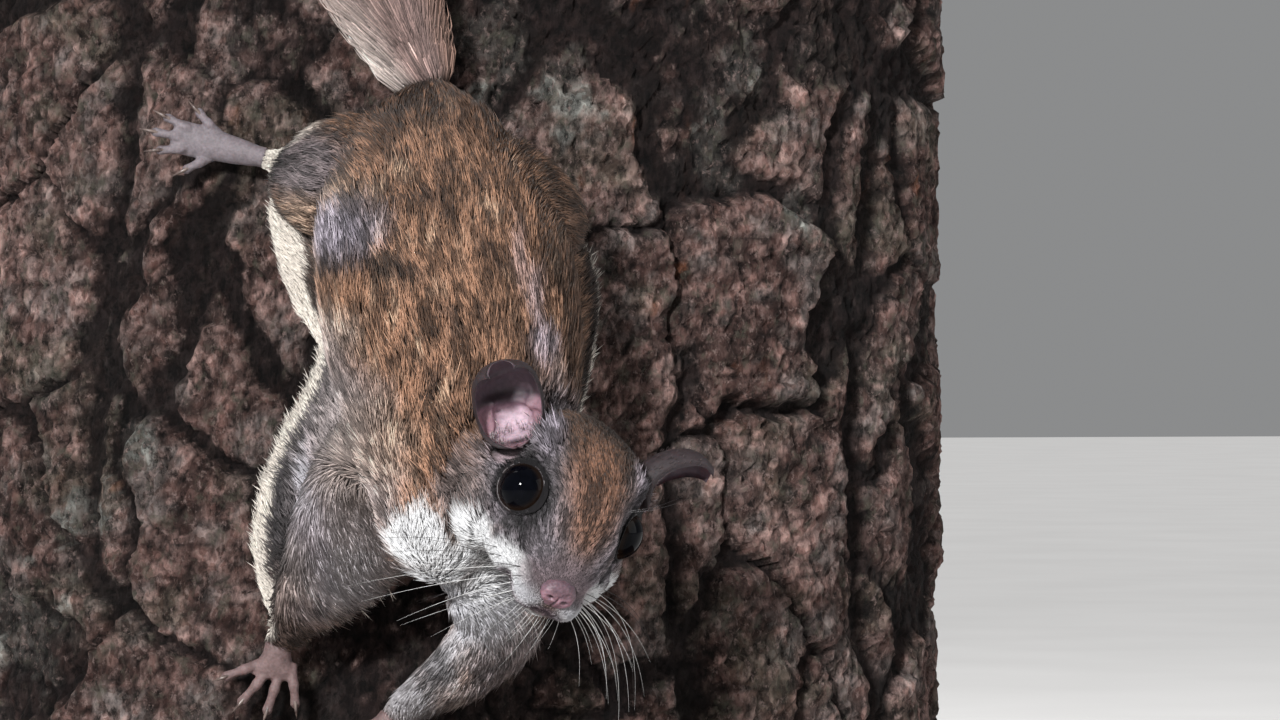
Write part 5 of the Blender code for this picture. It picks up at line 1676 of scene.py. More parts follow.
@dataclass
class Ear:
    """One thin ear: a cup that opens from its root and folds over at the top, with ridges inside.

    Heights, swell and halves belong together: a row's height, its radius as a share of the ear's, and the
    half turn that it runs round the cup, in degrees.
    """

    name: str
    side: Side
    slim: float = 1.0
    thick: float = 0.5
    heights: Row = (0.9, 1.1, 1.8, 3.6, 6.0, 8.6, 11.0, 13.2, 14.8, 15.6)
    swell: Row = (0.05, 0.48, 0.76, 0.92, 1.00, 1.03, 0.99, 0.91, 0.74, 0.44)
    halves: Row = (180.0, 180.0, 158.0, 118.0, 100.0, 94.0, 92.0, 90.0, 88.0, 84.0)
    rows: int = 90
    columns: int = 84
    mottle: tuple[float, float] = (14.0, 9.0)
    hairs: int = 460
    hair_width: float = 0.09
    hood: Row = (0.105, 0.072, 0.090)
    pale: Row = (0.56, 0.41, 0.48)
    rosy: Row = (0.30, 0.17, 0.205)
    behind: Row = (0.036, 0.025, 0.028)
    rim: Row = (0.022, 0.014, 0.018)
    hair_dark: Row = (0.07, 0.05, 0.05)
    hair_behind: Row = (0.12, 0.09, 0.09)
    hair_inside: Row = (0.50, 0.43, 0.44)

    def speckle(self, cell: float, seed: int) -> Array:
        """Broken noise on the ear laid flat, for its ripples and its mottled tone."""
        rise = np.linspace(0.0, self.mottle[0], self.rows)[:, None]
        across = np.linspace(-self.mottle[1], self.mottle[1], self.columns)[None]
        flat = np.stack(np.broadcast_arrays(rise, across), axis=-1).reshape(-1, 2)
        return fractal(flat, cell, seed, 3).reshape(self.rows, self.columns)

    def walls(self) -> tuple[Array, Array, Array, Array]:
        """Outer and inner wall on a grid, with the share of the rise and how near the rim.

        The first rows are a bowl from its middle outwards, and the others run round the cup by an angle that
        narrows as they rise, at a radius that swells and closes. The inner wall stands a thickness inside and
        carries the ridges as bell curves.
        """
        root, axis, opens, across = ear_axes(self.side)
        rise = np.linspace(0.0, 1.0, self.rows)[:, None]
        share = np.linspace(-1.0, 1.0, self.columns)[None]
        profile = curve(np.stack([self.heights, self.swell, self.halves], axis=-1), rise[:, 0])
        height, swell, half_turn = profile[:, :1], profile[:, 1:2] * self.slim, profile[:, 2:]
        turn = share * np.radians(half_turn)
        wall = ease(0.15, 0.35, rise)
        lean = wall * (1.6 * np.sin(np.pi * rise) - 2.8 * rise**4)
        drop = 1.7 * rise * share * share * (1.0 + 0.25 * share)
        away = np.sin(turn)[..., None] * across - np.cos(turn)[..., None] * opens
        edge = 1.0 - ease(0.84, 1.0, np.abs(share)) * wall
        middle = root + (height - drop)[..., None] * axis + away * (EAR_RADIUS * swell)[..., None]
        middle = middle - lean[..., None] * opens - away * ((1.0 - edge) * 0.4)[..., None]
        inside = ease(1.0, 0.5, np.abs(share))
        ridge = 1.2 * bell(rise - 0.48 - 0.07 * share, 0.040) * inside
        ridge = ridge + 0.35 * bell(rise - 0.70 + 0.05 * share, 0.022) * inside
        low = ease(0.2, 0.3, rise)
        ridge = ridge + 0.7 * bell(share - 0.42, 0.09) * low * ease(0.58, 0.48, rise)
        ridge = ridge + 0.6 * bell(share + 0.48, 0.08) * low * ease(0.60, 0.48, rise)
        ripple = 0.12 * self.speckle(2.4, 71)
        half = (self.thick / 2 * np.minimum(1.0, 2.0 * swell) * (0.35 + 0.65 * edge))[..., None]
        out = away * wall[..., None] - axis * (1.0 - wall)[..., None]
        outer = middle + out * (half + ripple[..., None] * 0.5)
        raised = np.maximum(ridge + ripple, -0.1)[..., None] * np.minimum(swell * 2.0, 1.0)[..., None]
        return outer, middle - out * (half + raised), rise * np.ones_like(share), edge

    def tones(self, rise: Array, edge: Array) -> Array:
        """Colours of both walls: a dark hood, partly painted shade under its fold, over a pale pink cup
        inside, and a dusky back.
        """
        share = np.abs(np.linspace(-1.0, 1.0, self.columns)) * np.ones_like(rise)
        hood, pale, rosy, back, rim = (
            np.array(tone) for tone in (self.hood, self.pale, self.rosy, self.behind, self.rim)
        )
        low = 1.0 - ease(0.42, 0.54, rise + 0.06 * np.cos(3.0 * share))
        # Hood above. Below it the cup is rosy and paler in its middle; the darker rosy sides are painted
        # shade.
        inside = hood + (rosy - hood) * low[..., None]
        inside = inside + (pale - inside) * (low * (1.0 - ease(0.12, 0.46, share)))[..., None]
        # Painted shade: a dark line along the fold between hood and cup.
        inside = inside * (1.0 - 0.5 * bell(rise - 0.53, 0.03))[..., None]
        # Painted shade: the bottom of the cup darker.
        inside = inside * (1.0 - 0.8 * ease(0.10, 0.02, rise))[..., None]
        mottle = 1.0 + 0.20 * self.speckle(1.4, 72)[..., None]
        rimmed = (1.0 - edge)[..., None] * 0.75
        inside = (inside + (rim - inside) * rimmed) * mottle
        outside = back * mottle
        outside = outside + (rim - outside) * rimmed
        return np.concatenate([outside.reshape(-1, 3), inside.reshape(-1, 3)])

    def fringe(self, outer: Array, inner: Array) -> tuple[Surface, Array, Array]:
        """Short fine hairs on the back, the rim and the floor of the cup, with their tones and map.

        A hair stands at a random place of a wall, leans up along the ear and out of the wall, and is half as
        long near the top.
        """
        draw = np.random.default_rng(SEED + 20 + self.side.value)
        _, axis, opens, _ = ear_axes(self.side)
        count = self.hairs
        back = draw.random(count) < 0.56
        row = np.where(back, 0.2 + draw.random(count) ** 1.3 * 0.65, 0.16 + draw.random(count) * 0.10)
        row = (row * (self.rows - 2)).astype(int)
        column = (draw.random(count) * (self.columns - 2)).astype(int)
        base = np.where(back[:, None], outer[row, column], inner[row, column])
        out = unit(outer[row, column] - inner[row, column]) * np.where(back, 1.0, -1.0)[:, None]
        length = draw.uniform(0.7, 1.5, count) * (1.15 - 0.6 * row / self.rows) * np.where(back, 1.0, 1.5)
        way = axis * 0.8 + out * 0.45 + opens * np.where(back, -0.1, 0.35)[:, None]
        way = unit(way + draw.normal(0.0, 0.16, (count, 3)))
        shape = ring_shape(np.full(count, self.hair_width), unit(np.cross(way, out)), out)
        knee = base + way * (length * 0.45)[:, None] + out * 0.12
        made = spikes(base - out * 0.15, (knee[:, None] + shape)[:, None], base + way * length[:, None])
        dark = draw.random((count, 1)) < np.where(back, 0.5, 0.35)[:, None]
        pale = np.where(back[:, None], np.array(self.hair_behind), np.array(self.hair_inside))
        tone = np.where(dark, np.array(self.hair_dark), pale)
        spots = np.stack([0.03 + 0.05 * column / self.columns, 0.60 + 0.05 * row / self.rows], axis=-1)
        spots[:, 0] += 0.10 * (self.side is Side.LEFT)
        flat = (spots[:, None] + TUFT_MAP).reshape(-1, 2)
        return made, np.repeat(tone, len(TUFT_MAP), axis=0), corner_values(made, flat)

    def build(self, finish: Material, fur: Material) -> None:
        """Makes the ear and its hairs."""
        outer, inner, rise, edge = self.walls()
        size = self.rows * self.columns
        index = np.arange(size).reshape(self.rows, self.columns)
        rim = np.concatenate([index[:, 0], index[-1, 1:], index[-2::-1, -1], index[0, -2:0:-1]])
        after = np.roll(rim, -1)
        edges = np.stack([after, rim, rim + size, after + size], axis=-1)
        quads = np.concatenate([grid_quads(index), grid_quads(index + size)[:, ::-1], edges])
        cup = Surface(np.concatenate([outer.reshape(-1, 3), inner.reshape(-1, 3)]), quads).outward()
        add_piece(self.name + "_cup", cup, [finish], (self.name,), self.tones(rise, edge))
        made, tones, spots = self.fringe(outer, inner)
        add_piece("coat_" + self.name, made, [fur], (self.name,), tones, spots)


@dataclass
class Paw:
    """A paw spread on the bark: palm, digits with knuckles and pads, and curved claws.

    Wrist and heel hold x, z and height off the bark, and palm its length, half width and half depth. Spread
    holds the digits' angles in degrees.
    """

    name: str
    wrist: Row
    heel: Row
    spread: Row
    lengths: Row
    radius: float
    palm: Row
    claw: float
    tone: Row
    voxel: float = 0.24

    def rod(self, rows: list[Row], count: int, sides: int, up: Array) -> Surface:
        """An oval of given half width and half depth carried along a curve."""
        return swept(framed(curve(rows, np.linspace(0.0, 1.0, count)), up), sides)

    def surfaces(self) -> tuple[Surface, Surface]:
        """The fleshy paw, fused, and its claws."""
        wrist, heel = (LOG.at(np.array([place]))[0] for place in (self.wrist, self.heel))
        up = LOG.out(heel[:1])[0]
        ahead = heel - wrist
        ahead = unit(ahead - up * dot(ahead, up))
        side = np.cross(up, ahead)
        long, wide, deep = self.palm
        front = heel + ahead * long
        rows = [
            (*(wrist + up * 0.6), wide * 0.60, deep * 0.95),
            (*((wrist + heel) / 2 + up * 0.6), wide * 0.60, deep),
            (*(heel + up * 0.4), wide * 0.70, deep),
            (*(heel + ahead * long * 0.6 + up * 0.1), wide * 0.95, deep * 0.82),
            (*front, wide * 0.95, deep * 0.55),
        ]
        flesh = [self.rod(rows, 30, 28, up)]
        claws = []
        radius, claw = self.radius * 0.92, self.claw
        for number, (angle, length) in enumerate(zip(self.spread, self.lengths)):
            turn = math.radians(angle)
            share = number / (len(self.spread) - 1) * 2 - 1
            start = heel + ahead * long * (0.75 - 0.28 * share * share) + side * wide * 0.78 * share
            heading = ahead * math.cos(turn) + side * math.sin(turn)
            end = start + heading * length
            digit = [
                (*(start - heading * 1.2), radius * 1.05, radius * 1.0),
                (*(start + heading * length * 0.18 + up * 0.5), radius * 0.9, radius * 0.92),
                (*(start + heading * length * 0.40 + up * 0.8), radius * 1.02, radius * 1.02),
                (*(start + heading * length * 0.62 + up * 0.45), radius * 0.80, radius * 0.82),
                (*(start + heading * length * 0.84 + up * 0.05), radius * 0.86, radius * 0.86),
                (*(end - up * radius * 0.15), radius * 0.98, radius * 0.92),
            ]
            flesh.append(self.rod(digit, 26, 16, up))
            pad = end - heading * radius * 0.3 - up * radius * 0.35
            axes = np.stack([heading, np.cross(up, heading), up])
            flesh.append(ball(pad, (radius * 1.2, radius * 0.95, radius * 0.6), axes, 12, 16))
            horn = [
                (*(end - heading * 0.9 + up * radius * 0.30), radius * 0.40, radius * 0.50),
                (*(end + heading * claw * 0.25 + up * radius * 0.50), radius * 0.34, radius * 0.46),
                (*(end + heading * claw * 0.62 + up * radius * 0.22), 0.19, 0.30),
                (*(end + heading * claw * 0.95 - up * radius * 0.45), 0.03, 0.04),
            ]
            claws.append(self.rod(horn, 16, 12, up))
        return fused(joined(flesh), self.voxel, 3), joined(claws)

    def build(self, flesh: Material, horn: Material) -> None:
        """Makes the paw and its claws, with folds over the knuckles."""
        paw, claws = self.surfaces()
        normals = paw.normals()
        folds = fractal(paw.points, 1.4, 81, 3)
        paw.points += normals * (folds * 0.07)[:, None]
        # The tone follows the folds, darker in their hollows and paler on their ridges, as painted shade and
        # highlight; a finer noise mottles it.
        tone = np.array(self.tone) * (1.0 + 0.22 * folds + 0.12 * fractal(paw.points, 0.6, 82, 2))[:, None]
        add_piece(self.name + "_flesh", paw, [flesh], (self.name,), tone)
        add_piece(self.name + "_claws", claws, [horn], (self.name,))


@dataclass
class Whiskers:
    """Long tapered whiskers from the lips, short ones from the chin painted pale as a highlight, and a few
    over the eyes.

    A lone whisker holds its root in the head's axes and its length.
    """

    rows: int = 4
    columns: int = 5
    thick: float = 0.07
    dark: Row = (0.020, 0.015, 0.016)
    # Painted highlight: the lower whiskers and the chin's drawn pale, as if lit bright.
    pale: Row = (0.80, 0.79, 0.78)
    turn: Row = (0.21, 0.45, 0.87)
    end: Row = (0.1, 0.1)
    beard: int = 16
    lone: tuple[Row, ...] = ((2.5, 6.4, 6.8, 15.0), (1.4, 7.0, 6.4, 11.0), (3.0, 11.0, -9.0, 14.0))

    def strand(self, root: Array, way: Array, fall: Array, length: float, thick: float) -> Surface:
        """A round rod whose line is a parabola, with a radius that falls to nothing at the tip."""
        t = np.linspace(0.0, 1.0, 22)[:, None]
        line = root + way * length * t + fall * length * t * t
        tangents = unit(np.gradient(line, axis=0))
        wide = unit(np.cross(tangents, np.array(self.turn)))
        sizes = np.repeat(thick * (1.0 - 0.9 * t), 2, axis=1)
        return swept((line, tangents, wide, np.cross(tangents, wide), sizes), 5, reach=self.end)

    def build(self, finish: Material) -> None:
        """Makes all whiskers as one piece: the upper rows dark, the lower ones and the chin's pale, a painted
        highlight.
        """
        draw = np.random.default_rng(SEED + 2)
        dark, pale = np.array(self.dark), np.array(self.pale)
        made, tones = [], []

        def grow(root: Array, way: Array, fall: Array, length: float, thick: float, tone: Array) -> None:
            """Adds one strand and its tone."""
            strand = self.strand(root, way, fall, length, thick)
            made.append(strand)
            tones.append(np.tile(tone, (len(strand.points), 1)))

        for side in Side:
            sign = side.value
            for row in range(self.rows):
                for column in range(self.columns):
                    along = 14.6 - 1.25 * column + draw.uniform(-0.3, 0.3)
                    up = -5.6 - 0.95 * row + draw.uniform(-0.2, 0.2)
                    root = HEAD.place(along, (3.9 + 0.66 * column - 0.2 * row) * sign, up)
                    down = -0.28 - 0.26 * row if side is Side.LEFT else -0.48 - 0.24 * row
                    way = HEAD.way(0.14 - 0.13 * column, (0.95 + 0.05 * column) * sign, down)
                    hang = draw.uniform(0.30, 0.75) if side is Side.LEFT else draw.uniform(0.02, 0.32)
                    fall = np.array([-0.6 * hang, 0.05, -0.8 * hang])
                    if side is Side.LEFT:
                        way = unit(way + np.array([0.5, -0.15, 0.1]))
                    length = (14.0 + 3.8 * column) * draw.uniform(0.7, 1.15)
                    # Upper rows dark; the lower rows pale, a painted highlight.
                    tone = dark if row < 1 + 2 * (sign < 0) else pale
                    grow(root, way, fall, length, self.thick * draw.uniform(0.75, 1.15), tone)
            for along, apart, up, length in self.lone:
                way = HEAD.way(0.2, 0.75 * sign, 0.75 if up > 0 else -0.5)
                fall = HEAD.way(-1.0, 0.0, 0.1) * 0.35
                grow(HEAD.place(along, apart * sign, up), way, fall, length, self.thick * 0.8, dark)
        for apart in np.linspace(-4.6, 4.6, self.beard):
            along = 14.6 - 0.16 * apart * apart + draw.uniform(-0.3, 0.3)
            root = HEAD.place(along, apart, -10.6 + 0.05 * apart * apart)
            way = HEAD.way(0.45, 0.10 * apart, -1.0)
            fall = np.array([-0.7, 0.2, -0.2]) * draw.uniform(0.2, 0.8)
            # The chin's whiskers pale: a painted highlight.
            grow(root, way, fall, draw.uniform(3.5, 11.0), self.thick * 0.75, pale)
        add_piece("whiskers", joined(made), [finish], ("head",), np.concatenate(tones))


@dataclass
class Trunk:
    """A cut length of trunk: plated bark in front, a flat sawn back and two sawn ends.

    A furrow holds its place across, its width, and the heights that it runs between. A calm spot holds x, z
    and reach; the bark is low there, under a paw or a thigh. A lichen patch holds x, z, half width and half
    height.
    """

    columns: int = 372
    rows: int = 236
    plate: Row = (25.0, 37.0)
    fissure: float = 3.6
    crack_width: float = 0.20
    step: float = 1.9
    shares: Row = (0.97, 0.8, 0.6, 0.4, 0.2)
    furrows: tuple[Row, ...] = ((76.0, 3.4, 44.0, 300.0), (37.0, 2.6, 30.0, 128.0), (-74.0, 2.6, 96.0, 190.0))
    plate_tones: tuple[Row, ...] = (
        (0.190, 0.112, 0.098),
        (0.420, 0.275, 0.245),
        (0.400, 0.345, 0.325),
        (0.240, 0.215, 0.165),
    )
    arc_radius: float = 88.0
    edge_columns: float = 14.0
    # Painted shade: near black deep in the cracks.
    crack_shade: Row = (0.018, 0.012, 0.012)
    rust: Row = (0.42, 0.14, 0.055)
    dust: Row = (0.34, 0.31, 0.29)
    lichen_tone: Row = (0.60, 0.60, 0.55)
    calm: tuple[Row, ...] = (
        (-45.0, 79.0, 13.0),
        (-25.0, 66.0, 12.0),
        (-52.0, 170.0, 15.0),
        (4.0, 150.0, 18.0),
    )
    lichen: tuple[Row, ...] = (
        (-3.0, 190.0, 9.0, 13.0),
        (11.0, 181.0, 6.0, 8.0),
        (40.0, 170.0, 5.0, 9.0),
        (56.0, 158.0, 4.0, 5.0),
        (46.0, 185.0, 5.0, 5.0),
        (-66.0, 117.0, 3.0, 5.0),
        (-75.0, 103.0, 6.0, 7.0),
        (-84.0, 84.0, 7.0, 10.0),
        (24.0, 228.0, 12.0, 10.0),
    )

    def outline(self) -> Array:
        """Across and ahead of the oval's front at even turns, for a half width and a depth of one."""
        turns = np.pi * np.arange(self.columns + 1) / self.columns
        across, ahead = -np.cos(turns), np.sin(turns)
        size = (np.abs(across) ** LOG.square + np.abs(ahead) ** LOG.square) ** (-1.0 / LOG.square)
        return np.stack([across * size, ahead * size], axis=-1)

    def stillness(self, x: Array, z: Array) -> Array:
        """How much of the relief is left: none at a calm spot's middle, and all of it past its reach."""
        still = np.ones(len(x))
        for spot_x, spot_z, reach in self.calm:
            away = np.hypot(x - spot_x, z - spot_z) / reach
            still = np.minimum(still, np.clip(away * 1.6 - 0.6, 0.0, 1.0))
        return still

    def plating(self, x: Array, arc: Array, z: Array) -> tuple[Array, Array, Array]:
        """The bark's main form: big plates, each a step apart, cracks between them, and two long furrows.

        The plates are cells of a plane bent by broad and by ragged noise. A crack sinks where the gap between
        the two nearest cell middles is small, a hollow where a broad noise is high, and a furrow is a bell
        curve across a line that wanders as a sine of the height.

        Args:
            x: place across the trunk.
            arc: length round the bark.
            z: height.

        Returns:
            Depth under the smooth front, how deep in a crack, and a random number for the plate.
        """
        flat = np.stack([arc, z], axis=-1)
        warp = np.stack([fractal(flat, 34.0, 91, 3), fractal(flat, 34.0, 92, 3)], axis=-1) * 12.0
        ragged = np.stack([fractal(flat, 9.0, 88, 3), fractal(flat, 9.0, 89, 3)], axis=-1) * 3.4
        gap, owner = plates((flat + warp + ragged) / self.plate, 95)
        width = self.crack_width * (0.30 + 1.5 * ease(-0.6, 0.7, noise(flat, 29.0, 90)))
        crack = 1.0 - ease(0.30, 1.0, gap / width)
        hollow = ease(0.16, 0.34, fractal(flat + warp * 0.5 + ragged * 1.4, 27.0, 87, 3))
        crack = np.maximum(crack, 0.78 * hollow)
        depth = crack * self.fissure + owner * self.step * (1.0 - crack)
        for place, wide, low, high in self.furrows:
            line = place + 3.0 * np.sin(z / 23.0) + warp[:, 0] * 0.3 + ragged[:, 0] * 0.7
            run = ease(low - 15.0, low, z) * (1.0 - ease(high, high + 15.0, z))
            groove = bell(x - line, wide) * run
            depth = depth + groove * self.fissure * (1.0 - crack)
            crack = np.maximum(crack, groove)
        return depth * self.stillness(x, z), crack, owner

    def relief(self, x: Array, arc: Array, z: Array) -> tuple[Array, Array, Array, Array]:
        """The whole bark: the plates, with finer cracks, chips, crumbs and grain over them.

        Chips and crumbs are smaller cells, each at a height of its own with a crease round it. Flakes are a
        broad noise less its whole part, which steps down along ragged lines. Fibres run up the cracks.

        Args:
            x: place across the trunk.
            arc: length round the bark.
            z: height.

        Returns:
            Depth under the smooth front, how deep in a crack, height of the crumbs, and the plate's number.
        """
        depth, crack, owner = self.plating(x, arc, z)
        flat = np.stack([arc, z], axis=-1)
        warp = np.stack([fractal(flat, 6.0, 93, 3), fractal(flat, 6.0, 94, 3)], axis=-1) * 3.4
        gap, chip = plates((flat + warp) / (6.0, 8.5), 96)
        split = (1.0 - np.minimum(gap / (0.10 + 0.26 * chip), 1.0)) ** 1.3
        gap, crumb = plates((flat + warp * 0.6) / (2.5, 3.3), 97)
        crumb = ease(0.0, 0.26, gap) * (0.4 + 0.6 * crumb)
        wave = fractal(flat + warp * 1.5, 12.0, 99) * 2.4 + chip
        flake = wave - np.floor(wave)
        fibre = noise(flat * (1.0, 0.16), 1.5, 98) * ease(0.4, 0.8, crack)
        fine = split * 0.9 + chip * 0.7 + flake * 0.65 + (1.0 - crumb) * 0.5 + fibre * 0.35
        depth = depth + fine * (0.25 + 0.75 * self.stillness(x, z))
        return depth, np.clip(crack + split * 0.45, 0.0, 1.0), crumb, owner

    def tones(self, x: Array, z: Array, arc: Array, crack: Array, crumb: Array, owner: Array) -> Array:
        """Brown, pink, grey and olive plates with lichen; crumbs pale as painted highlight, cracks near black
        as painted shade.

        Args:
            x: place across the trunk.
            z: height.
            arc: length round the bark.
            crack: how deep in a crack.
            crumb: height of the crumbs.
            owner: number of the plate.

        Returns:
            One linear colour for each place.
        """
        flat = np.stack([arc, z], axis=-1)
        brown, pink, grizzle, olive = (np.array(c) for c in self.plate_tones)
        tone = np.tile(brown, (len(x), 1))
        tone = blend(tone, pink, ease(-0.35, 0.6, fractal(flat, 14.0, 101, 4) + 0.8 * (owner - 0.5)))
        tone = blend(tone, grizzle, ease(-0.05, 0.5, fractal(flat, 6.0, 102, 4)) * 0.75)
        tone = blend(tone, olive, ease(0.1, 0.6, fractal(flat, 11.0, 105, 3)) * 0.6)
        speck = fractal(flat, 2.2, 103, 2)
        tone = tone * (1.0 + 0.9 * speck)[:, None]
        # Painted highlight: the crumbs' tops paler and pinker.
        tone = blend(tone, pink * 2.1, ease(0.55, 0.9, crumb) * ease(-0.3, 0.4, speck) * 0.6)
        # Painted shade: darker between the crumbs.
        tone = tone * (0.42 + 0.58 * ease(0.0, 0.6, crumb))[:, None]
        rust = ease(0.52, 0.7, fractal(flat * (1.0, 0.22), 2.4, 106, 2))
        rust = rust * ease(0.0, 0.5, fractal(flat, 28.0, 107, 2))
        tone = blend(tone, np.array(self.rust), rust * 0.7)
        # Painted shade: near black in the cracks.
        tone = blend(tone, np.array(self.crack_shade), ease(0.25, 0.95, crack) * 0.94)
        ruffle = fractal(flat, 4.0, 108, 4)
        for spot_x, spot_z, wide, high in self.lichen:
            away = np.hypot((x - spot_x) / wide, (z - spot_z) / high) + ruffle * 0.9
            grow = (1.0 - ease(0.6, 0.95, away)) * (1.0 - 0.85 * ease(0.3, 0.8, crack))
            tone = blend(tone, np.array(self.lichen_tone) * (0.75 + 0.5 * speck[:, None]), grow)
        dust = ease(0.42, 0.7, fractal(flat, 3.0, 104, 4)) * (1.0 - crack)
        return blend(tone, np.array(self.dust), dust * 0.45)

    def front(self) -> tuple[Array, Array]:
        """The bark's places and tones, from foot to top and in each row round the front.

        A place is the outline at its turn and height, sunk by the relief towards the middle of the back. The
        relief fades out along the two edges of the back.
        """
        outline = self.outline()
        heights = LOG.foot + LOG.length * np.arange(self.rows + 1) / self.rows
        arc = np.arctan2(outline[:, 0], outline[:, 1]) * self.arc_radius
        arc, z = (grid.reshape(-1) for grid in np.meshgrid(arc, heights))
        across, ahead = np.tile(outline * (LOG.half_width, LOG.depth), (self.rows + 1, 1)).T
        depth, crack, crumb, owner = self.relief(across, arc, z)
        column = np.arange(self.columns + 1)
        edge = np.minimum(np.minimum(column, self.columns - column) / self.edge_columns, 1.0)
        places = np.stack([across, LOG.back - ahead, z], axis=-1)
        inward = unit((places - (0.0, LOG.back, 0.0)) * (1.0, 1.0, 0.0))
        places = places - inward * (depth * np.tile(edge, self.rows + 1))[:, None]
        return places, self.tones(places[:, 0], places[:, 2], arc, crack, crumb, owner)

    def surface(self) -> tuple[Surface, Array, Array]:
        """The closed trunk, its tones, and which finish each face takes: 0 bark, 1 sawn wood.

        Each end is rings of the front's first or last row drawn to the pith, and the back is a grid in line
        with them. On sawn faces the tone holds the share of the way from pith to bark.
        """
        places, tones = self.front()
        shares, width = np.array(self.shares), self.columns + 1
        number = np.arange(len(places)).reshape(-1, width)
        bark = grid_quads(number)
        points, quads, triangles, shade = [places], [bark], [], [tones]
        total, lines = len(places), []
        for row in (0, self.rows):
            rim = places[number[row]]
            pith = np.array([0.0, LOG.back, rim[0, 2]])
            rings = (pith + (rim - pith)[None] * shares[:, None, None]).reshape(-1, 3)
            index = np.concatenate([number[row][None], total + np.arange(len(rings)).reshape(-1, width)])
            centre = total + len(rings)
            made = np.roll(grid_quads(index)[:, ::-1], 1, axis=1)
            fan = np.stack([index[-1, :-1], np.full(self.columns, centre), index[-1, 1:]], axis=-1)
            quads.append(made if row else made[:, ::-1])
            triangles.append(fan if row else fan[:, ::-1])
            points += [rings, pith[None]]
            shade += [np.repeat(shares, width * 3).reshape(-1, 3), np.zeros((1, 3))]
            lines.append(np.concatenate([index[:, 0], [centre], index[::-1, -1]]))
            total = centre + 1
        spread = np.concatenate([-shares, [0.0], shares[::-1]])
        back = np.empty((self.rows + 1, len(spread) + 2), np.int64)
        back[1:-1, 1:-1] = total + np.arange((self.rows - 1) * len(spread)).reshape(-1, len(spread))
        back[0], back[-1] = lines
        back[:, 0], back[:, -1] = number[:, 0], number[:, -1]
        across, up = np.meshgrid(spread, places[number[1:-1, 0], 2])
        flat = [across * LOG.half_width, np.full_like(up, LOG.back), up]
        points.append(np.stack(flat, axis=-1).reshape(-1, 3))
        shade.append(np.repeat(np.abs(across).reshape(-1, 1), 3, axis=1))
        quads.append(np.roll(grid_quads(back)[:, ::-1], 1, axis=1))
        surface = Surface(np.concatenate(points), np.concatenate(quads), np.concatenate(triangles))
        kinds = np.arange(len(surface.quads) + len(surface.triangles)) >= len(bark)
        return surface, np.concatenate(shade), kinds

    def build(self, bark: Material, sawn: Material) -> None:
        """Makes the trunk."""
        surface, tones, kinds = self.surface()
        thing = add_piece("trunk_perch", surface, [bark, sawn], ("trunk",), tones, None, kinds)
        work = bmesh.new()
        work.from_mesh(thing.data)
        bmesh.ops.recalc_face_normals(work, faces=work.faces)
        work.to_mesh(thing.data)
        work.free()


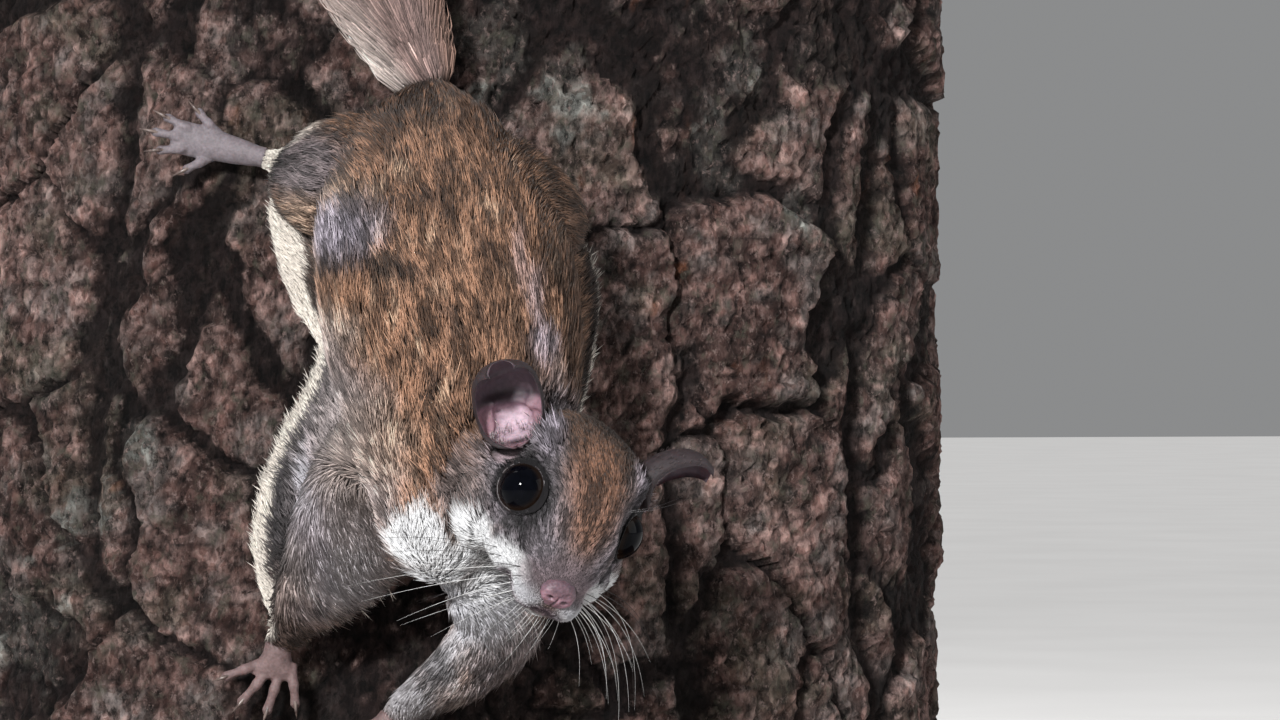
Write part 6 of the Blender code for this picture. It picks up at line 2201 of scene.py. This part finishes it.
class Weave:
    """A material's node tree while it is wired, round one Principled shader."""

    def __init__(self, name: str, **sockets: float | tuple[float, ...]) -> None:
        """Makes the material and sets the shader's own sockets.

        Args:
            name: name of the material.
            sockets: shader sockets by name, with underscores for spaces.
        """
        self.material = bpy.data.materials.new(name)
        self.material.use_nodes = True
        self.tree = self.material.node_tree
        self.shader = self.tree.nodes["Principled BSDF"]
        for key, value in sockets.items():
            self.shader.inputs[key.replace("_", " ")].default_value = value

    def node(self, kind: str, **settings: object) -> bpy.types.Node:
        """A new node with its settings."""
        made = self.tree.nodes.new("ShaderNode" + kind)
        for key, value in settings.items():
            setattr(made, key, value)
        return made

    def join(self, source: Socket, target: Socket) -> None:
        """Links two sockets."""
        self.tree.links.new(source, target)

    def place(self, scale: Row = (1.0, 1.0, 1.0), shift: Row = (0.0, 0.0, 0.0)) -> Socket:
        """Object coordinates in millimetres, scaled along each axis."""
        mapping = self.node("Mapping")
        mapping.inputs["Scale"].default_value = [s / MM for s in scale]
        mapping.inputs["Location"].default_value = shift
        self.join(self.node("TexCoord").outputs["Object"], mapping.inputs["Vector"])
        return mapping.outputs["Vector"]

    def unwrap(self, scale: Row) -> Socket:
        """The coat's unwrap, scaled across the hair and along it."""
        mapping = self.node("Mapping")
        mapping.inputs["Scale"].default_value = scale
        self.join(self.node("UVMap", uv_map=BAKE_MAP).outputs["UV"], mapping.inputs["Vector"])
        return mapping.outputs["Vector"]

    def noise(
        self, where: Socket, scale: float, detail: float = 3.0, rough: float = 0.5
    ) -> Socket:
        """Noise with features of one over scale."""
        made = self.node("TexNoise")
        made.inputs["Scale"].default_value = scale
        made.inputs["Detail"].default_value = detail
        made.inputs["Roughness"].default_value = rough
        self.join(where, made.inputs["Vector"])
        return made.outputs["Fac"]

    def warped(self, where: Socket, scale: float, reach: float) -> Socket:
        """Coordinates pushed about by noise, up to half the reach each way."""
        push = self.node("TexNoise")
        push.inputs["Scale"].default_value = scale
        self.join(where, push.inputs["Vector"])
        moved = self.node("VectorMath", operation="MULTIPLY_ADD")
        self.join(push.outputs["Color"], moved.inputs[0])
        moved.inputs[1].default_value = (reach, reach, reach)
        self.join(where, moved.inputs[2])
        return moved.outputs["Vector"]

    def cells(self, where: Socket, scale: float) -> Socket:
        """Voronoi cells, each of one random level."""
        made = self.node("TexVoronoi")
        made.inputs["Scale"].default_value = scale
        self.join(where, made.inputs["Vector"])
        split = self.node("SeparateColor")
        self.join(made.outputs["Color"], split.inputs["Color"])
        return split.outputs[0]

    def sum(self, *terms: tuple[Socket, float]) -> Socket:
        """Values added up, each times its weight."""
        total = None
        for source, weight in terms:
            made = self.node("Math", operation="MULTIPLY_ADD")
            self.join(source, made.inputs[0])
            made.inputs[1].default_value = weight
            made.inputs[2].default_value = 0.0
            if total:
                self.join(total, made.inputs[2])
            total = made.outputs["Value"]
        return total

    def ramp(self, source: Socket, *stops: tuple[float, Row]) -> Socket:
        """Colours between stops of place and colour."""
        made = self.node("ValToRGB")
        bands = made.color_ramp.elements
        while len(bands) < len(stops):
            bands.new(0.5)
        for band, (spot, colour) in zip(bands, stops):
            band.position = spot
            band.color = (*colour, 1.0)
        self.join(source, made.inputs["Fac"])
        return made.outputs["Color"]

    def level(self, source: Socket, low: float, high: float) -> Socket:
        """A value from 0 to 1 laid out from low to high."""
        made = self.node("MapRange")
        made.inputs["To Min"].default_value = low
        made.inputs["To Max"].default_value = high
        self.join(source, made.inputs["Value"])
        return made.outputs["Result"]

    def times(self, a: Socket, b: Socket) -> Socket:
        """The product of two colours or values."""
        made = self.node("Mix", data_type="RGBA", blend_type="MULTIPLY")
        made.inputs["Factor"].default_value = 1.0
        self.join(a, made.inputs["A"])
        self.join(b, made.inputs["B"])
        return made.outputs["Result"]

    def tinted(self, source: Socket, tone: Row, share: Socket) -> Socket:
        """A colour drawn towards one tone where the share is high."""
        made = self.node("Mix", data_type="RGBA")
        self.join(share, made.inputs["Factor"])
        self.join(source, made.inputs["A"])
        made.inputs["B"].default_value = (*tone, 1.0)
        return made.outputs["Result"]

    def painted(self) -> Socket:
        """The piece's own tones."""
        return self.node("Attribute", attribute_name=TONE).outputs["Color"]

    def mottled(self, pattern: Socket, low: float, high: float, dark: float) -> None:
        """Paints the piece's own tones, darkened where a pattern is low."""
        self.colour(self.times(self.painted(), self.ramp(pattern, (low, grey(dark)), (high, grey(1.0)))))

    def colour(self, source: Socket) -> None:
        """Links the base colour."""
        self.join(source, self.shader.inputs["Base Color"])

    def rough(self, source: Socket) -> None:
        """Links the roughness."""
        self.join(source, self.shader.inputs["Roughness"])

    def bump(self, height: Socket, distance: float, strength: float = 1.0) -> None:
        """Bump of a depth in millimetres."""
        made = self.node("Bump")
        made.inputs["Distance"].default_value = distance * MM
        made.inputs["Strength"].default_value = strength
        self.join(height, made.inputs["Height"])
        self.join(made.outputs["Normal"], self.shader.inputs["Normal"])


def grey(value: float) -> Row:
    """A grey of one value."""
    return (value, value, value)


@dataclass(frozen=True)
class FurFinish:
    """Soft hair: painted tones broken by fine noise, with a faint sheen."""

    name: str = "fur"
    roughness: float = 0.6
    sheen: float = 0.06

    def make(self) -> Material:
        """Makes the material."""
        wire = Weave(self.name, Roughness=self.roughness, Sheen_Weight=self.sheen, Specular_IOR_Level=0.25)
        fine = wire.noise(wire.place(), 2.6, 3.0)
        wire.mottled(fine, 0.3, 0.7, 0.72)
        wire.rough(wire.level(fine, 0.52, 0.74))
        return wire.material


@dataclass(frozen=True)
class PeltFinish:
    """The skin under the tufts: painted tones with streaks and bump drawn along the lie of the hair."""

    name: str = "pelt"

    def make(self) -> Material:
        """Makes the material."""
        wire = Weave(self.name, Roughness=0.8, Sheen_Weight=0.05, Specular_IOR_Level=0.2)
        streak = wire.noise(wire.unwrap((MAP_SPAN * 3.4, MAP_SPAN * 0.55, 1.0)), 1.0, 4.0)
        wire.mottled(streak, 0.34, 0.66, 0.35)
        wire.rough(wire.level(streak, 0.7, 0.9))
        wire.bump(streak, 0.35, 0.8)
        return wire.material


@dataclass(frozen=True)
class EyeFinish:
    """A wet black eye."""

    name: str = "eye_wet"

    def make(self) -> Material:
        """Makes the material."""
        wire = Weave(self.name, Roughness=0.035, Specular_IOR_Level=0.12, IOR=1.38)
        soft = wire.noise(wire.place(), 0.9, 2.0)
        wire.mottled(soft, 0.3, 0.7, 0.6)
        return wire.material


@dataclass(frozen=True)
class BareFinish:
    """Bare skin with fine folds and pores."""

    name: str
    pore: float
    depth: float
    low: float
    high: float
    glow: float = 0.0
    painted: bool = True
    tone: Row = (0.03, 0.02, 0.022)

    def make(self) -> Material:
        """Makes the material."""
        wire = Weave(self.name, Specular_IOR_Level=0.45, Subsurface_Weight=self.glow, Subsurface_Scale=0.0012)
        pores = wire.noise(wire.place(), self.pore, 4.0)
        if self.painted:
            wire.mottled(pores, 0.32, 0.62, 0.72)
        else:
            wire.colour(wire.ramp(pores, (0.3, tuple(c * 0.6 for c in self.tone)), (0.7, self.tone)))
        wire.rough(wire.level(pores, self.low, self.high))
        wire.bump(pores, self.depth)
        return wire.material


@dataclass(frozen=True)
class HornFinish:
    """Claws: dull horn with a darker grain along the length."""

    name: str = "horn"
    dark: Row = (0.055, 0.035, 0.032)
    light: Row = (0.20, 0.15, 0.13)

    def make(self) -> Material:
        """Makes the material."""
        wire = Weave(self.name, Roughness=0.3, Coat_Weight=0.3, Coat_Roughness=0.2)
        grain = wire.noise(wire.place((1.0, 1.0, 0.4)), 1.6, 3.0)
        wire.colour(wire.ramp(grain, (0.3, self.dark), (0.7, self.light)))
        wire.rough(wire.level(grain, 0.22, 0.42))
        return wire.material


@dataclass(frozen=True)
class WhiskerFinish:
    """Stiff glossy hair in its painted tone."""

    name: str = "whisker"

    def make(self) -> Material:
        """Makes the material."""
        wire = Weave(self.name, Roughness=0.3, Specular_IOR_Level=0.6)
        fine = wire.noise(wire.place(), 1.2, 2.0)
        wire.mottled(fine, 0.3, 0.7, 0.8)
        return wire.material


@dataclass(frozen=True)
class BarkFinish:
    """Dry bark: painted plates and cracks, with fine crumbs and fibres in bump."""

    name: str = "bark_dry"
    pale: Row = (0.46, 0.33, 0.30)
    green: Row = (0.15, 0.145, 0.11)

    def make(self) -> Material:
        """Makes the material."""
        wire = Weave(self.name, Roughness=0.92, Specular_IOR_Level=0.2)
        where = wire.warped(wire.place((1.0, 1.0, 0.66)), 0.5, 1.9)
        crumb = wire.noise(wire.place((1.0, 1.0, 0.6)), 0.62, 9.0, 0.74)
        flake, chip = wire.cells(where, 0.42), wire.cells(where, 1.05)
        lit = wire.ramp(wire.painted(), (0.03, grey(0.0)), (0.10, grey(1.0)))
        grit = wire.noise(wire.place((1.0, 1.0, 0.7), (7.0, 3.0, 5.0)), 0.9, 6.0, 0.7)
        moss = wire.noise(wire.place((1.0, 1.0, 0.8), (2.0, 9.0, 1.0)), 0.33, 6.0, 0.68)
        shade = wire.ramp(crumb, (0.38, grey(0.14)), (0.48, grey(0.7)), (0.58, grey(1.1)))
        tone = wire.times(wire.painted(), shade)
        tone = wire.times(tone, wire.ramp(flake, (0.1, grey(0.55)), (0.8, grey(1.05))))
        tone = wire.times(tone, wire.ramp(chip, (0.1, (0.66, 0.58, 0.56)), (0.7, grey(1.05))))
        pale = wire.times(lit, wire.ramp(grit, (0.55, grey(0.0)), (0.68, grey(0.7))))
        green = wire.times(lit, wire.ramp(moss, (0.54, grey(0.0)), (0.66, grey(0.55))))
        tone = wire.tinted(tone, self.pale, pale)
        wire.colour(wire.tinted(tone, self.green, green))
        wire.rough(wire.level(crumb, 0.8, 1.0))
        wire.bump(wire.sum((flake, 0.45), (chip, 0.25), (crumb, 1.5)), 2.4)
        return wire.material


@dataclass(frozen=True)
class SawnFinish:
    """Sawn wood: growth rings round the pith, a dark rind, saw marks and radial checks."""

    name: str = "sawn"
    late: Row = (0.30, 0.19, 0.105)
    early: Row = (0.50, 0.35, 0.21)
    heart: Row = (0.62, 0.5, 0.42)
    rind: Row = (0.16, 0.11, 0.09)

    def make(self) -> Material:
        """Makes the material."""
        wire = Weave(self.name, Roughness=0.7)
        share = wire.node("SeparateColor")
        wire.join(wire.painted(), share.inputs["Color"])
        stretch = wire.node("CombineXYZ")
        wire.join(share.outputs[0], stretch.inputs["X"])
        drift = wire.noise(wire.place((0.03, 0.03, 0.03)), 1.0, 2.0)
        wire.join(wire.level(drift, 0.0, 0.12), stretch.inputs["Y"])
        rings = wire.node("TexWave", bands_direction="DIAGONAL")
        rings.inputs["Scale"].default_value = 9.0
        rings.inputs["Distortion"].default_value = 1.2
        rings.inputs["Detail"].default_value = 3.0
        wire.join(stretch.outputs["Vector"], rings.inputs["Vector"])
        wood = wire.ramp(rings.outputs["Fac"], (0.0, self.late), (1.0, self.early))
        heart = ((0.0, self.heart), (0.55, grey(0.95)))
        rind = wire.ramp(share.outputs[0], *heart, (0.90, grey(1.0)), (0.93, self.rind))
        fibre = wire.noise(wire.place((1.0, 0.12, 1.0)), 1.4, 4.0)
        wire.colour(wire.times(wire.times(wood, rind), wire.ramp(fibre, (0.3, grey(0.7)), (0.65, grey(1.0)))))
        wire.rough(wire.level(fibre, 0.62, 0.85))
        wire.bump(fibre, 0.25)
        return wire.material


@dataclass(frozen=True)
class BoardFinish:
    """Dark oiled board with grain along its length."""

    name: str = "board_oiled"
    dark: Row = (0.042, 0.022, 0.012)
    middle: Row = (0.115, 0.062, 0.033)
    light: Row = (0.19, 0.108, 0.06)

    def make(self) -> Material:
        """Makes the material."""
        wire = Weave(self.name, Roughness=0.4, Coat_Weight=0.25, Coat_Roughness=0.3)
        grain = wire.noise(wire.place((0.035, 0.6, 0.6)), 1.0, 6.0)
        pore = wire.noise(wire.place((0.12, 3.0, 3.0)), 1.0, 3.0)
        wood = wire.ramp(grain, (0.30, self.dark), (0.52, self.middle), (0.72, self.light))
        wire.colour(wire.times(wood, wire.ramp(pore, (0.36, grey(0.55)), (0.5, grey(1.0)))))
        wire.rough(wire.level(grain, 0.34, 0.5))
        wire.bump(pore, 0.12)
        return wire.material


@dataclass(frozen=True)
class SteelFinish:
    """Brushed steel rods."""

    name: str = "steel_brushed"
    dull: Row = (0.38, 0.38, 0.39)
    bright: Row = (0.58, 0.58, 0.59)

    def make(self) -> Material:
        """Makes the material."""
        wire = Weave(self.name, Metallic=1.0, Roughness=0.3)
        brushed = wire.noise(wire.place((1.0, 1.0, 14.0)), 0.5, 3.0)
        wire.colour(wire.ramp(brushed, (0.3, self.dull), (0.7, self.bright)))
        wire.rough(wire.level(brushed, 0.24, 0.42))
        wire.bump(brushed, 0.02)
        return wire.material


@dataclass(frozen=True)
class FloorFinish:
    """Plain pale floor."""

    name: str = "floor_pale"
    low: Row = (0.70, 0.69, 0.68)
    high: Row = (0.74, 0.73, 0.72)

    def make(self) -> Material:
        """Makes the material."""
        wire = Weave(self.name, Roughness=0.85)
        soft = wire.noise(wire.place((0.01, 0.01, 0.01)), 1.0, 2.0)
        wire.colour(wire.ramp(soft, (0.3, self.low), (0.7, self.high)))
        return wire.material


@dataclass
class Stand:
    """The display stand: the part's own board and rods, each with its finish."""

    board: str = "stand_base"
    rods: tuple[str, ...] = ("stand_rod_1", "stand_rod_2")

    def dress(self, wood: Material, steel: Material) -> None:
        """Gives the carried-over nodes their finishes."""
        for name in (self.board, *self.rods):
            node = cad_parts[name]
            node.data.materials.clear()
            node.data.materials.append(wood if name == self.board else steel)
            log.info("%s: dressed", name)


@dataclass
class Studio:
    """The floor, the soft lights and the camera at the photo's angle.

    One of the lights holds its place, power and size.
    """

    target: Row = (23.5, -12.0, 132.0)
    azimuth: float = -15.0
    distance: float = 1000.0
    lens: float = 156.0
    sun_from: Row = (-0.78, -1.0, 0.60)
    sun: float = 4.1
    sun_angle: float = 7.0
    world: float = 0.30
    world_tone: Row = (0.86, 0.87, 0.88)
    sensor: float = 36.0
    clip: tuple[float, float] = (0.01, 40.0)
    floor_half: float = 8000.0
    lights: tuple[tuple[Row, float, float], ...] = (
        ((800.0, -500.0, 420.0), 2.5, 0.7),
        ((-200.0, 600.0, 900.0), 8.0, 0.9),
    )

    def aim(self, thing: bpy.types.Object, place: Array, target: Array) -> None:
        """Puts a light or camera at a place and turns it to its target."""
        thing.location = place * MM
        thing.rotation_mode = "QUATERNION"
        thing.rotation_quaternion = Vector(place - target).to_track_quat("Z", "Y")

    def build(self, floor_finish: Material) -> None:
        """Makes the floor, the lights, the world and the camera."""
        ends = np.array([(-1.0, -1.0, 0.0), (1.0, -1.0, 0.0), (1.0, 1.0, 0.0), (-1.0, 1.0, 0.0)])
        ends = ends * self.floor_half
        mesh = bare_mesh("floor", Surface(ends, np.array([[0, 1, 2, 3]])))
        mesh.materials.append(floor_finish)
        linked("floor", mesh)
        target = np.array(self.target)
        for number, (place, power, size) in enumerate(self.lights):
            light = bpy.data.lights.new(f"softbox_{number}", "AREA")
            light.energy = power
            light.size = size
            self.aim(linked(light.name, light), np.array(place), target)
        lamp = bpy.data.lights.new("key", "SUN")
        lamp.energy = self.sun
        lamp.angle = math.radians(self.sun_angle)
        self.aim(linked("key", lamp), target + np.array(self.sun_from) * self.distance, target)
        world = bpy.data.worlds.new("studio")
        world.use_nodes = True
        sky = world.node_tree.nodes["Background"]
        sky.inputs["Color"].default_value = (*self.world_tone, 1.0)
        sky.inputs["Strength"].default_value = self.world
        bpy.context.scene.world = world
        bpy.context.scene.view_settings.view_transform = "Standard"
        camera = bpy.data.cameras.new("camera")
        camera.lens = self.lens
        camera.sensor_width = self.sensor
        camera.clip_start, camera.clip_end = self.clip
        thing = linked("camera", camera)
        turn = math.radians(self.azimuth)
        back = np.array([math.sin(turn), -math.cos(turn), 0.0])
        self.aim(thing, target + back * self.distance, target)
        bpy.context.scene.camera = thing


def paws() -> list[Paw]:
    """The four paws, with their places on the bark, the angles of their digits and their lengths."""
    fingers, palm, fore = (6.0, 7.2, 7.0, 6.0), (3.4, 4.1, 2.2), (0.19, 0.125, 0.122)
    hand = (fingers, 1.05, palm, 2.6, fore)
    right, left = (-58.0, -30.0, -8.0, 16.0), (-40.0, -14.0, 10.0, 36.0)
    toes, lengths = (-34.0, -14.0, 2.0, 18.0, 40.0), (4.6, 6.4, 6.8, 6.4, 4.6)
    foot = (toes, lengths, 1.0, (13.5, 3.1, 2.2), 3.0, (0.195, 0.165, 0.18))
    return [
        Paw("forepaw_right", (-42.6, 81.6, 3.0), (-43.0, 79.0, 2.6), right, *hand),
        Paw("forepaw_left", (-22.8, 68.4, 3.0), (-24.4, 66.2, 2.6), left, *hand),
        Paw("hindfoot_right", (-45.0, 167.8, 3.2), (-48.0, 168.6, 2.8), *foot),
        Paw("hindfoot_left", (0.4, 161.0, 2.8), (1.6, 158.4, 2.6), *foot),
    ]


def main() -> None:
    """Builds the studio and every sub-assembly in order."""
    logging.basicConfig(level=logging.INFO, format="%(name)s: %(message)s")
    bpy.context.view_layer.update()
    Studio().build(FloorFinish().make())
    fur = FurFinish().make()
    coat = Coat()
    skin = Skin(coat)
    surface = skin.build(PeltFinish().make())
    Tufts(coat, skin).build(surface, fur)
    Tail().build(fur)
    Eyes().build(EyeFinish().make(), BareFinish("lid_skin", 1.6, 0.08, 0.25, 0.5, painted=False).make())
    Nose().build(BareFinish("nose_skin", 3.2, 0.05, 0.32, 0.55, 0.15).make())
    ear_skin = BareFinish("ear_skin", 1.4, 0.10, 0.5, 0.75, 0.12).make()
    Ear("ear_right", Side.RIGHT).build(ear_skin, fur)
    Ear("ear_left", Side.LEFT, slim=0.66).build(ear_skin, fur)
    paw_skin, horn = BareFinish("paw_skin", 2.2, 0.12, 0.5, 0.75, 0.1).make(), HornFinish().make()
    for paw in paws():
        paw.build(paw_skin, horn)
    Whiskers().build(WhiskerFinish().make())
    Trunk().build(BarkFinish().make(), SawnFinish().make())
    Stand().dress(BoardFinish().make(), SteelFinish().make())


if __name__ == "__main__":
    main()
